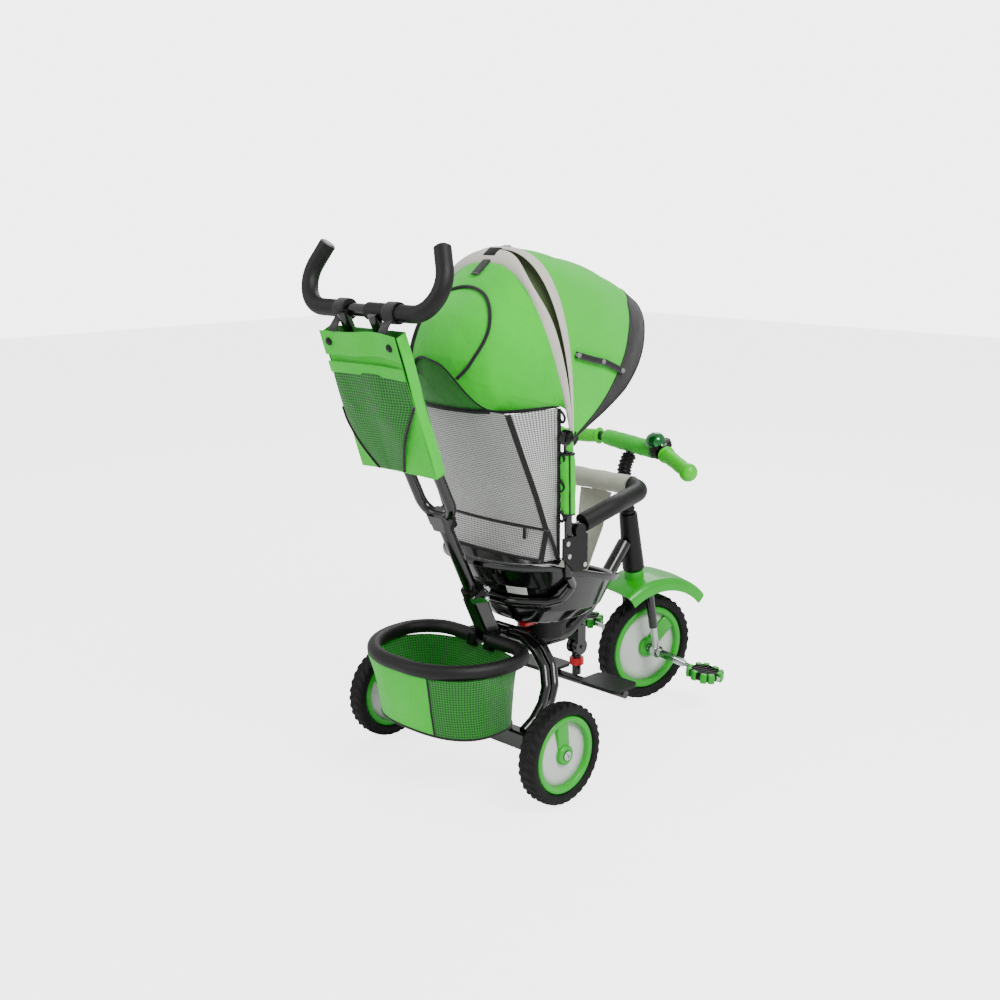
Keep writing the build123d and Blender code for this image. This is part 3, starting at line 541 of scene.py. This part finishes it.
front_folds = 1.6 * np.sin(7 * T + 4 * S) * np.sin(T)
visor_in = np.interp(inward, [0, 0.18, 0.36, 0.69, 0.99, 1.25, 1.57], [31, 33, 37, 42, 44.5, 43, 41])
visor_out = np.interp(inward, [0, 0.2, 0.4, 0.63, 0.87, 1.23, 1.57], [27, 25, 25.5, 29, 33, 36.5, 37.5])
front_shape = pushed(front(88.4 + (visor_in - 88.4) * S, T), ease * front_folds)
hood_front = dress(grid("hood_front_panel", front_shape), "green_fabric", "canopy_hood", "canopy_front")
is_cloth(thicken(hood_front), "stretched", "canopy_hubs")
V = np.linspace(0, 1, 16)[:, None]
lip = front(visor_in + (visor_out - visor_in) * V, T)
visor = thicken(dress(grid("visor_cloth", lip), "black_fabric", "canopy_hood", "visor"), 3)
is_cloth(visor, "stretched", "canopy_hubs")
print("hood of seven sheets")

# %% [markdown]
# ### Piping, buckle and folding stays on the canopy

# %%
hem_line = rear(hem[0], T[0])
dress(sweep("hood_hem_piping", spaced(hem_line, 180), 2.2, 12), "black_fabric", "seat")
low_line = rear(np.full(150, 182.0), T[0])
dress(sweep("hood_lower_piping", spaced(low_line, 180), 4.2, 14), "black_fabric", "seat")
tips = front(visor_in[0], T[0])
dress(sweep("hood_front_piping", spaced(tips, 160), 2.4, 12), "black_fabric", "canopy_hood")
edge = front(visor_out[0], T[0])
dress(sweep("visor_edge_piping", spaced(edge, 160), 3.0, 12), "black_fabric", "canopy_hood")
window_t = np.array([1.31, 1.18, 1.1, 1.05, 1.07, 1.2, 1.38, 1.57])
window_a = np.array([161, 155, 148, 138, 129, 120, 114.5, 112.5])
window_t = np.append(window_t, math.pi - window_t[-2::-1])
window = curve(rear(np.append(window_a, window_a[-2::-1]), window_t), 120)
window = window + (window - mm((0, -94, 752))) * 0.014
dress(sweep("window_piping", window, 3.6, 14), "black_fabric", "seat")
top = curve(mm((0, -20, 996), (0, -52, 1020), (0, -84, 1041), (0, -110, 1047)), 30) + [0, 0, 0.003]
dress(sweep("buckle_strap", top, 11, 20, thick=1.4, up=(0, 0.5, 0.86)), "black_fabric", "seat")
clip = block("buckle_clip", mm((0, -70, 1038))[0], (34, 26, 9), 3, Matrix.Rotation(-0.6, 3, "X"))
dress(clip, "black_plastic", "seat")
for side in (-1, 1):
    name = "right" if side < 0 else "left"
    stay_t = np.array([0.42, 0.41, 0.42, 0.43])
    stay_t = stay_t if side < 0 else math.pi - stay_t
    stay = curve(front(np.array([85.0, 67, 53, 37]), stay_t), 40) + [side * 0.007, 0, 0]
    bar = sweep("folding_stay_" + name, stay, 6.5, 20, thick=3, up=(side, 0, 0))
    dress(bar, "gloss_black_plastic", "canopy_hood")
    for k in (1, 22, 38):
        rivet = [(0.01, 6.4), (4, 6), (5, 3.5), (5, -2), (0.01, -2)]
        piece = lathe(f"stay_rivet_{name}_{k}", rivet, stay[k], (side, 0, 0), 24)
        dress(piece, "grey_plastic", "canopy_hood", slot="black_plastic")
print("canopy trim")

# %% [markdown]
# ## Backrest
# Level lines run from the post, round the seam, across the back and forward again on the other side.


# %%
# Height, then x and y of the wing's front edge, then x and y of the seam.
LEVELS = np.array(
    [
        (446, 147, -101, 139, -62),
        (509, 150, -97, 146, -70),
        (580, 152, -95, 145, -42),
        (748, 154, -92, 142, 34),
    ],
    float,
)
BACK_LOW, BACK_HIGH = 446, 748


def back_line_at(z, column):
    """The backrest's outline values at height z, between the measured levels."""
    return np.interp(z, LEVELS[:, 0], LEVELS[:, column])


Z = np.linspace(BACK_LOW, BACK_HIGH, 90)[:, None]
seam_x, seam_y = back_line_at(Z, 3), back_line_at(Z, 4)
wing_x, wing_y = back_line_at(Z, 1), back_line_at(Z, 2)
across = np.linspace(-1, 1, 90)[None, :]
height_share = np.sin(math.pi * (Z - BACK_LOW) / (BACK_HIGH - BACK_LOW))
sag = 7 * (1 - across**2) * height_share
sheet_points = np.stack(np.broadcast_arrays(across * seam_x, seam_y + sag, Z + 0 * across), -1)
back = grid("backrest_net", placed(sheet_points))
is_cloth(thicken(dress(back, "mesh_fabric", "seat", "backrest"), 1.2), "stretched", "canopy_posts")
F = np.linspace(0, 1, 30)[None, :]
for side in (-1, 1):
    name = "right" if side < 0 else "left"
    x = side * (seam_x + (wing_x - seam_x) * F - 4 * np.sin(math.pi * F) * height_share)
    wing = np.stack(np.broadcast_arrays(x, seam_y + (wing_y - seam_y) * F, Z + 0 * F), -1)
    piece = grid("backrest_wing_" + name, placed(wing))
    is_cloth(thicken(dress(piece, "mesh_fabric", "seat"), 1.2), "stretched", "canopy_posts")
    rows = np.linspace(BACK_LOW, BACK_HIGH, 60)
    outer = np.stack([side * back_line_at(rows, 3), back_line_at(rows, 4), rows], -1)
    strap = sweep("seam_strap_" + name, mm(*outer), 5.5, 18, thick=1.6, up=(side * 0.6, 0.8, 0))
    dress(strap, "black_fabric", "seat")
    post = np.stack([side * back_line_at(rows, 1), back_line_at(rows, 2), rows], -1)
    dress(sweep("wing_edge_" + name, mm(*post), 7, 18, thick=2.2, up=(0, 1, 0)), "black_fabric", "seat")
    for k, z in enumerate((735, 695, 655, 600, 540)):
        hook = [(158, -90, 0), (166, -87, 9), (173, -90, -3), (166, -92, -13), (157, -91, -6)]
        hook = mm(*[(side * x, y, z + dz) for x, y, dz in hook])
        dress(sweep(f"hook_{name}_{k}", curve(hook, 36), 2.7, 12), "black_plastic", "seat")
    pocket = curve(mm((side * 150, -70, 512), (side * 152, -84, 480), (side * 150, -98, 450)), 20)
    dress(sweep("wing_foot_" + name, pocket, 4, 12), "black_fabric", "seat")
for name, z, r in (("zip_piping", 511, 3.6), ("seat_back_hem", 448, 3.6)):
    side_x, y = float(back_line_at(z, 3)), float(back_line_at(z, 4))
    line = curve(mm((-side_x, y, z), (0, y + 4, z - 3), (side_x, y, z)), 50)
    dress(sweep(name, line, r, 14), "black_fabric", "seat")
dress(block("zip_pull", mm((-96, -60, 497))[0], (7, 3, 22), 1.4), "black_plastic", "seat")
print("backrest of three nets")

# %% [markdown]
# ### Sleeves on the canopy posts, seat shell, pad and guard wrap

# %%
for side in (-1, 1):
    name = "right" if side < 0 else "left"
    rows = np.linspace(0, 1, 50)
    low, high = mm((side * 170, -105.9, 541), (side * 170, -102.9, 660))
    line = low + rows[:, None] * (high - low)
    swell = 13.4 + 1.6 * np.sin(math.pi * rows) ** 0.6 + 0.5 * np.sin(17 * rows)
    piece = sweep("post_sleeve_" + name, line, swell, 36)
    dress(piece, "green_fabric", "seat", *(["post_sleeves"] if side < 0 else []))
    for k, z in enumerate((541, 660)):
        y = -105.9 + 3 * (z - 541) / 119
        ring = [(12.6, -1.6), (14.6, -1), (14.6, 2), (12.6, 2.6)]
        end = mm((side * 170, y, z))[0]
        piece = lathe(f"sleeve_edge_{name}_{k}", ring, end, (0, 0, 1), 40, True)
        dress(piece, "black_fabric", "seat")
    edge = line + [side * 0.012, 0.008, 0]
    dress(sweep("sleeve_seam_" + name, edge, 2.0, 10), "black_fabric", "seat")


def rounded_loop(half, near, far, corner, u):
    """A rounded rectangle: x = half cos^k, y = middle + depth sin^k, where corner sets k."""
    power = 2 + 2.2 * (1 - corner / half)
    c, s = np.cos(u), np.sin(u)
    x = half * np.sign(c) * np.abs(c) ** (2 / power)
    y = (near + far) / 2 + (far - near) / 2 * np.sign(s) * np.abs(s) ** (2 / power)
    return x, y


# Height, then half width, front y, back y and corner.
SHELL_LEVELS = np.array(
    [
        (286, 84, -296, -124, 66),
        (292, 94, -306, -114, 68),
        (330, 125, -324, -82, 98),
        (380, 140, -336, -58, 112),
        (436, 160, -344, -20, 126),
    ],
    float,
)
SHELL_LOW, SHELL_HIGH = 292, 436


def shell_points(u, v, out=0.0):
    """The seat shell's outside: loops between the levels, cut by the sloping front lip."""
    loop_z = SHELL_LOW + (SHELL_HIGH - SHELL_LOW) * v
    values = [np.interp(loop_z, SHELL_LEVELS[:, 0], SHELL_LEVELS[:, k]) for k in range(1, 5)]
    x, y = rounded_loop(values[0] + out, values[1] - out, values[2] + out, values[3], u)
    top = np.minimum(SHELL_HIGH, 352 + 0.3 * (y + 345) + 6)
    return np.stack(np.broadcast_arrays(x, y, SHELL_LOW + (top - SHELL_LOW) * v), -1)


U = np.linspace(0, 2 * math.pi, 200, endpoint=False)[None, :]
W = np.linspace(0, 1, 50)[:, None]
wall = shell_points(U, W)
piece = grid("seat_shell_moulded", placed(wall), round_v=True)
dress(thicken(piece, 3.5), "gloss_black_plastic", "seat", "seat_shell")
rim = wall[-1] - [0, 0, 4]
outward = (rim - [0, rim[:, 1].mean(), 0]) * [1, 1, 0]
outward /= np.linalg.norm(outward, axis=1, keepdims=True)
lip = sweep("seat_shell_lip", mm(*(rim + outward * 4)), 9, 24, thick=7, up=(0, 0, 1), joined=True)
dress(lip, "gloss_black_plastic", "seat")
floor_x = np.linspace(0, 1, 20)[:, None]
fx, fy = rounded_loop(86 * floor_x, -210 - 84 * floor_x, -210 + 84 * floor_x, 60 * floor_x, U)
bottom = np.stack([fx, fy, 293 + 0 * fx], -1)
piece = grid("seat_shell_floor", placed(bottom), round_v=True)
dress(thicken(piece, 3.5), "gloss_black_plastic", "seat")
lu, lv = np.linspace(1.82, 2.16, 20)[None, :], np.linspace(0.5, 0.62, 8)[:, None]
label = shell_points(lu, lv, 2.6)
label = thicken(grid("blank_label", placed(label)), 0.6)
dress(label, "white_plastic", "seat", slot="black_plastic")

pad_r = np.linspace(0.02, 1, 26)[:, None]
px, py = rounded_loop(84 * pad_r, -208 - 84 * pad_r, -208 + 84 * pad_r, 60 * pad_r, U)
crown = 316 + 8 * (1 - pad_r**3) + 0.8 * np.sin(6 * U) * pad_r
under = 298 + 8 * pad_r**4
top_half = np.stack(np.broadcast_arrays(px, py, crown - 12 * pad_r**10), -1)
low_half = np.stack(np.broadcast_arrays(px, py, under + 0 * px), -1)[::-1]
cushion = np.concatenate([top_half, low_half], 0)
piece = grid("seat_cushion", placed(cushion), round_v=True, capped=True)
dress(piece, "beige_fabric", "seat", "seat_pad")

flat_u = np.linspace(-1, 1, 34)[None, :]
rise = np.linspace(0, 1, 50)[:, None]
strip_y = np.interp(rise, [0, 0.25, 0.6, 1], [-286, -330, -372, -392])
strip_z = np.interp(rise, [0, 0.25, 0.6, 1], [322, 372, 448, 522])
strip_x = flat_u * (44 - 8 * np.sin(math.pi * rise))
strip_y = strip_y + 5 * flat_u**2 + 1.5 * np.sin(9 * rise)
strip = np.stack(np.broadcast_arrays(strip_x, strip_y, strip_z), -1)
piece = grid("crotch_strip", placed(strip))
is_cloth(thicken(dress(piece, "beige_fabric", "seat", "crotch_panel"), 1.6), "stretched", "guard_foam")

half_ring = [(156, -164, 511), (167, -250, 536), (138, -386, 545)]
ring_corners = mm(*[(-x, y, z) for x, y, z in half_ring], *half_ring[::-1])
ring_line = spaced(bent(ring_corners, [120, 62, 62, 120]), 220)
wrap = ring_line[78:142]
steps = np.linspace(0, 1, len(wrap))
folds_out = 20.6 + 0.7 * np.sin(19 * steps) * np.sin(math.pi * steps) + 0.5
piece = sweep("guard_wrap", wrap, folds_out, 40)
dress(piece, "beige_fabric", "guard")
print("seat, cushion and guard wrap")

# %% [markdown]
# ## Bag on the push handle
# Its own frame: u across, v down the sloping panel, w out of its face.


# %%
SLOPE = math.radians(19)
bag_top = mm((-10, 268, 911))[0]
bag_down = np.array([0, -math.sin(SLOPE), -math.cos(SLOPE)])
bag_out = np.array([0, math.cos(SLOPE), -math.sin(SLOPE)])


def bag_point(u, v, w):
    """A point of the bag: top + u X + v down + w out, in millimetres."""
    u, v, w = (np.asarray(a, float)[..., None] / 1000 for a in np.broadcast_arrays(u, v, w))
    return bag_top + u * np.array([1, 0, 0]) + v * bag_down + w * bag_out


bu = np.linspace(-1, 1, 80)[None, :]
bv = np.linspace(0, 1, 100)[:, None]
sagging = 13 * np.sin(math.pi * np.clip(bv - 0.2, 0, 1) * 1.2) * (1 - bu**4) * (bv > 0.2)
panel_out = 12 + sagging * 0.55 + 1.2 * np.sin(5 * bu + 3 * bv)
panel = bag_point((99 + 4 * bv) * bu, 276 * bv + 3 * bu**2, panel_out)
piece = dress(grid("bag_panel", panel), "green_fabric", "push_handle", "bag")
is_cloth(thicken(piece), "hung", "bag_loops")
back = bag_point(103 * bu, 276 * bv, -11 - 3 * (1 - bu**2) * np.sin(math.pi * bv))
# The back is the green cloth; its darker green is painted shade, on the side turned away from the light.
piece = dress(grid("bag_back", back), "painted_shade_fabric", "push_handle", slot="green_fabric")
is_cloth(thicken(piece), "hung", "bag_loops")
for side in (-1, 1):
    edge_w = np.linspace(-11, 12, 12)[None, :]
    gusset_x = side * 103 + side * 1.5 * np.sin(9 * bv)
    gusset = bag_point(gusset_x, 276 * bv + 3 * (edge_w + 11) / 23, edge_w + 0 * bv)
    name = "bag_gusset_" + ("right" if side < 0 else "left")
    is_cloth(thicken(dress(grid(name, gusset), "green_fabric", "push_handle")), "hung", "bag_loops")
edge_w = np.linspace(-11, 12, 12)[:, None]
base = bag_point(103 * bu, 277 + 2 * bu**2, edge_w)
is_cloth(thicken(dress(grid("bag_base", base), "green_fabric", "push_handle")), "hung", "bag_loops")
nv = np.linspace(0.27, 0.985, 80)[:, None]
# Seen from behind, +X is on the left: the left piping starts lower and ends nearer the corner.
left_edge = 101 - 60 * np.clip((nv - 0.62) / 0.37, 0, 1)
right_edge = -101 + 77 * np.clip((nv - 0.48) / 0.5, 0, 1)
nu = np.linspace(0, 1, 70)[None, :]
net_x = right_edge + (left_edge - right_edge) * nu
belly = 13 * np.sin(math.pi * np.clip(nv - 0.2, 0, 1) * 1.2) * (1 - (net_x / 103) ** 4)
net_out = 15 + belly * 0.85 + 1.6 * np.sin(0.05 * net_x + 6 * nv)
net = bag_point(net_x, 276 * nv + 3 * (net_x / 103) ** 2, net_out)
piece = dress(grid("bag_net", net), "green_net", "push_handle", slot="green_fabric")
is_cloth(thicken(piece, 1.0), "hung", "bag_loops")
for name, column in (("bag_piping_right", 0), ("bag_piping_left", -1)):
    start = 22 if column == 0 else 30
    dress(sweep(name, net[start:, column] + bag_out * 0.001, 2.8, 12), "black_fabric", "push_handle")
hv = np.linspace(0.205, 0.285, 12)[:, None]
band = bag_point(103.6 * bu, 276 * hv + 3 * bu**2, 18.5 + 1.0 * np.sin(4 * bu))
is_cloth(thicken(dress(grid("bag_band", band), "green_fabric", "push_handle"), 1.6), "hung", "bag_loops")
fv = np.linspace(0, 0.17, 20)[:, None]
fold_down = 276 * fv - 4 + 3 * bu**2 + 3 * np.sin(3 * bu)
fold = bag_point(103.8 * bu, fold_down, 16.5 - 20 * (fv - 0.17) ** 2 + 1.2 * np.sin(6 * bu + 1))
is_cloth(thicken(dress(grid("bag_flap", fold), "green_fabric", "push_handle"), 1.6), "hung", "bag_loops")
for k, u in enumerate((-84, 84)):
    stud = [(0.01, 4.2), (5, 4), (7.4, 2), (7.6, 0), (0.01, -1)]
    piece = lathe(f"bag_snap_{k}", stud, bag_point(u, 20, 17.5), bag_out, 32)
    dress(piece, "black_plastic", "push_handle")
for k, u in enumerate((-70, 66)):
    bar = mm((u - 8, 251, 945))[0]
    ring_angle = np.linspace(0, 2 * math.pi, 40, endpoint=False)
    loop = bar + 0.0185 * (np.cos(ring_angle)[:, None] * [0, 1, 0] + np.sin(ring_angle)[:, None] * [0, 0, 1])
    piece = sweep(f"bag_loop_{k}", loop, 14, 20, thick=1.5, up=loop - bar, joined=True)
    dress(piece, "black_fabric", "push_handle", *(["bag_loops"] if k == 0 else []))
    tail = np.array([bar + [0, 0.015, -0.012], bag_point(u, -6, 12), bag_point(u, 12, 14)])
    tail = curve(tail, 24)
    dress(sweep(f"bag_strap_{k}", tail, 13, 20, thick=1.4, up=bag_out), "black_fabric", "push_handle")
print("bag")

# %% [markdown]
# ## Basket
# Loops sink from the rim; the back left is cloth and the rest is net.


# %%
def basket_points(u, v):
    """Loops between the levels: rim at v = 0, floor edge at v = 1, with a little sag between."""
    z = 252 - 126 * v
    # Height, then half width, front y, back y and corner.
    keys = np.array(
        [(126, 142, -32, 161, 104), (180, 151, -35, 176, 108), (252, 159, -37, 189, 112)], float
    )
    half, near, far, corner = (np.interp(z, keys[:, 0], keys[:, k]) for k in range(1, 5))
    x, y = rounded_loop(half, near, far, corner, u)
    dip = 1 - 0.035 * np.sin(math.pi * v) * (1 + np.sin(3 * u) * 0.4)
    return np.stack(np.broadcast_arrays(x * dip, 70 + (y - 70) * dip, z + 0 * u), -1)


KV = np.linspace(0, 1, 60)[:, None]
for name, look, start, stop in (
    ("basket_cloth", "green_fabric", 0.1, 1.95),
    ("basket_net", "green_net", 1.95, 2 * math.pi + 0.1),
):
    ku = np.linspace(start, stop, int(60 * (stop - start)))[None, :]
    wall = basket_points(ku, KV)
    piece = grid(name, placed(wall))
    stands_for = ["basket_fabric"] if name == "basket_cloth" else []
    dress(piece, look, "frame", *stands_for, slot="green_fabric")
    is_cloth(thicken(piece), "hung", "basket_rim")
fr = np.linspace(0.02, 1, 30)[:, None]
edge_loop = basket_points(U, np.ones((1, 1)))[0]
middle = edge_loop.mean(0)
drop = [0, 0, 1] * (4 * (1 - fr**2))[..., None]
floor_grid = middle + (edge_loop - middle)[None] * fr[..., None] - drop
piece = grid("basket_base", placed(floor_grid), round_v=True)
is_cloth(thicken(dress(piece, "green_net", "frame", slot="green_fabric")), "hung", "basket_rim")
piece = sweep("basket_base_piping", placed(edge_loop), 3.0, 12, joined=True)
dress(piece, "black_fabric", "frame")
post = basket_points(np.array([[1.95]]), KV)[:, 0]
dress(sweep("basket_seam", mm(*post), 2.6, 12), "black_fabric", "frame")
for side in (-1, 1):
    name = "basket_clip_" + ("right" if side < 0 else "left")
    clip = block(name, mm((side * 24, -40, 262))[0], (26, 30, 34), 6)
    dress(clip, "black_plastic", "frame")
print("basket")

# %% [markdown]
# ## Handlebar
# Grips are turned with fine ribs, a flange and a ball; the pad is swept along the bar.

# %%
for side in (-1, 1):
    name = "right" if side < 0 else "left"
    inner, outer = turned(mm((side * 108, -502, 608), (side * 228, -466, 594)))
    along = (outer - inner) / np.linalg.norm(outer - inner)
    length = np.linalg.norm(outer - inner) * 1000
    h = np.linspace(12, length - 16, 150)
    ribs = 14.2 + 1.4 * np.sin(math.pi * (h - 12) / (length - 28)) + 0.55 * (np.sin(h * 1.7) > 0)
    ribs = ribs - 1.2 * np.exp(-(((h - length / 2) / 14) ** 2))
    profile = [(0.01, 8), (17, 8), (19, 9.5), (19, 12)] + list(zip(ribs, h))
    ball = np.linspace(0.7, math.pi, 26)
    profile += [(max(19.6 * math.sin(a), 0.01), length - 1 - 19 * math.cos(a)) for a in ball]
    piece = lathe("grip_" + name, profile, inner, along, 72)
    dress(piece, "lime_plastic", "front_fork", *(["grips"] if side < 0 else []))
bar_line = turned(mm((-74, -502, 608), (-20, -502, 608), (40, -502, 608), (92, -502, 608)))
bar_line = curve(bar_line, 60)
steps = np.linspace(0, 1, 60)
fat = 18 + 1.1 * np.sin(math.pi * steps) + 0.35 * np.sin(31 * steps)
piece = sweep("handlebar_pad", bar_line, fat, 40)
dress(piece, "green_fabric", "front_fork", "bar_pad")
corrugated = spaced(curve(turned(mm((0, -497, 452), (0, -480.5, 545), (0, -494, 588))), 60), 160)
waves = 15.2 + 1.7 * np.sin(np.linspace(0, 34 * math.pi, 160))
dress(sweep("stem_bellows", corrugated, waves, 40), "black_plastic", "front_fork", "stem_cover")
bell_at = turned(mm((-90, -510, 620)))[0]
bell_up = turn_front @ np.array([0, 0.45, 0.89])
knurl = [(0.01, -12), (18, -12), (21, -10), (19.5, -7), (21.5, -4), (20, -1), (21.5, 2), (17, 4), (0.01, 4)]
dress(lathe("bell_collar", knurl, bell_at + bell_up * 0.006, bell_up, 48), "black_plastic", "front_fork")
print("handlebar")

# %% [markdown]
# ## Pedals and the caps on the push handle

# %%
for body in ("pedal_left", "pedal_right"):
    lo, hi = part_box(body)
    middle = np.array((lo + hi) / 2)
    layers = np.array([(0.86, -9), (0.97, -7.5), (1, -5), (1, 5), (0.97, 7.5), (0.86, 9)], float)
    ox, oy = rounded_loop(39, -32, 32, 24, U)
    scale, level = layers[:, :1], layers[:, 1:]
    oval = np.stack(np.broadcast_arrays(ox * scale, oy * scale, level + 0 * U), -1) / 1000
    piece = grid(body + "_block", oval @ turn_front.T + middle, round_v=True, capped=True)
    dress(piece, "black_plastic", body, body)
    for k, a in enumerate(np.linspace(0, 2 * math.pi, 10, endpoint=False) + 0.3):
        tx, ty = rounded_loop(37, -30, 30, 24, np.array([a]))
        spot = middle + turn_front @ (np.array([tx[0], ty[0], 0]) / 1000)
        turn = turn_front @ np.array(Matrix.Rotation(math.atan2(ty[0] * 1.4, tx[0]), 3, "Z"))
        dress(block(f"{body}_tread_{k}", spot, (13, 15, 22), 3, turn), "green_plastic", body)
    for k, x in enumerate((-18, -6, 6, 18)):
        spot = middle + turn_front @ (np.array([x, 0, 0]) / 1000)
        dress(block(f"{body}_rib_{k}", spot, (5, 40, 21), 2, turn_front), "black_plastic", body)
for side in (-1, 1):
    name = "right" if side < 0 else "left"
    tip, bend = mm((side * 157, 209, 1058), (side * 219, 251, 945))
    out = (tip - bend) / np.linalg.norm(tip - bend)
    cap = [(0.01, 2.5), (11, 2.3), (13.2, 1), (13.4, -3), (0.01, -3)]
    dress(lathe("horn_plug_" + name, cap, tip, out, 40), "grey_plastic", "push_handle", slot="black_plastic")
print("pedals and plugs")

# %% [markdown]
# ## Studio
# A pale flat floor, three soft lights and one camera, low behind the right-hand side.

# %%
ground = grid("studio_floor", np.array([[(x, y, 0) for y in (-9.0, 9.0)] for x in (-9.0, 9.0)]))
white = finish("studio_white", (246, 246, 246), 0.7, vary=0.01)
glow = white.node_tree.nodes.new("ShaderNodeEmission")
ray = white.node_tree.nodes.new("ShaderNodeLightPath")
lift = white.node_tree.nodes.new("ShaderNodeMath")
lift.operation = "MULTIPLY"
lift.inputs[1].default_value = 3.0
both = white.node_tree.nodes.new("ShaderNodeAddShader")
white.node_tree.links.new(ray.outputs["Is Camera Ray"], lift.inputs[0])
white.node_tree.links.new(lift.outputs[0], glow.inputs["Strength"])
white.node_tree.links.new(white.node_tree.nodes["Principled BSDF"].outputs[0], both.inputs[0])
white.node_tree.links.new(glow.outputs[0], both.inputs[1])
white.node_tree.links.new(both.outputs[0], white.node_tree.nodes["Material Output"].inputs["Surface"])
ground.data.materials.append(white)
world = scene.world or bpy.data.worlds.new("studio")
scene.world = world
world.use_nodes = True
sky = world.node_tree.nodes["Background"]
sky.inputs["Color"].default_value = (1, 1, 1, 1)
sky.inputs["Strength"].default_value = 0.75
seen = world.node_tree.nodes.new("ShaderNodeBackground")
seen.inputs["Strength"].default_value = 6
ray = world.node_tree.nodes.new("ShaderNodeLightPath")
either = world.node_tree.nodes.new("ShaderNodeMixShader")
world.node_tree.links.new(ray.outputs["Is Camera Ray"], either.inputs["Fac"])
world.node_tree.links.new(sky.outputs[0], either.inputs[1])
world.node_tree.links.new(seen.outputs[0], either.inputs[2])
world.node_tree.links.new(either.outputs[0], world.node_tree.nodes["World Output"].inputs["Surface"])
for name, place, size, power in (
    ("key", (-2.6, 0.4, 3.2), 1.6, 110),
    ("fill", (1.2, 3.2, 2.4), 2.2, 30),
    ("rim", (1.6, -2.8, 2.8), 1.8, 40),
):
    lamp = bpy.data.lights.new(name, "AREA")
    lamp.energy, lamp.size = power, size
    light = bpy.data.objects.new(name, lamp)
    light.location = place
    light.rotation_euler = (Vector((0, 0, 0.5)) - Vector(place)).to_track_quat("-Z", "Y").to_euler()
    scene.collection.objects.link(light)
azimuth, elevation = math.radians(224.76), math.radians(12.46)
lens = bpy.data.cameras.new("photo_view")
lens.lens, lens.sensor_width = 49.3, 36
camera = bpy.data.objects.new("photo_view", lens)
camera.location = (-1.9034, 2.0335, 1.1422)
level = math.cos(elevation)
behind = Vector((math.sin(azimuth) * level, -math.cos(azimuth) * level, math.sin(elevation)))
camera.rotation_euler = behind.to_track_quat("Z", "Y").to_euler()
scene.collection.objects.link(camera)
scene.camera = camera
print("camera and lights")
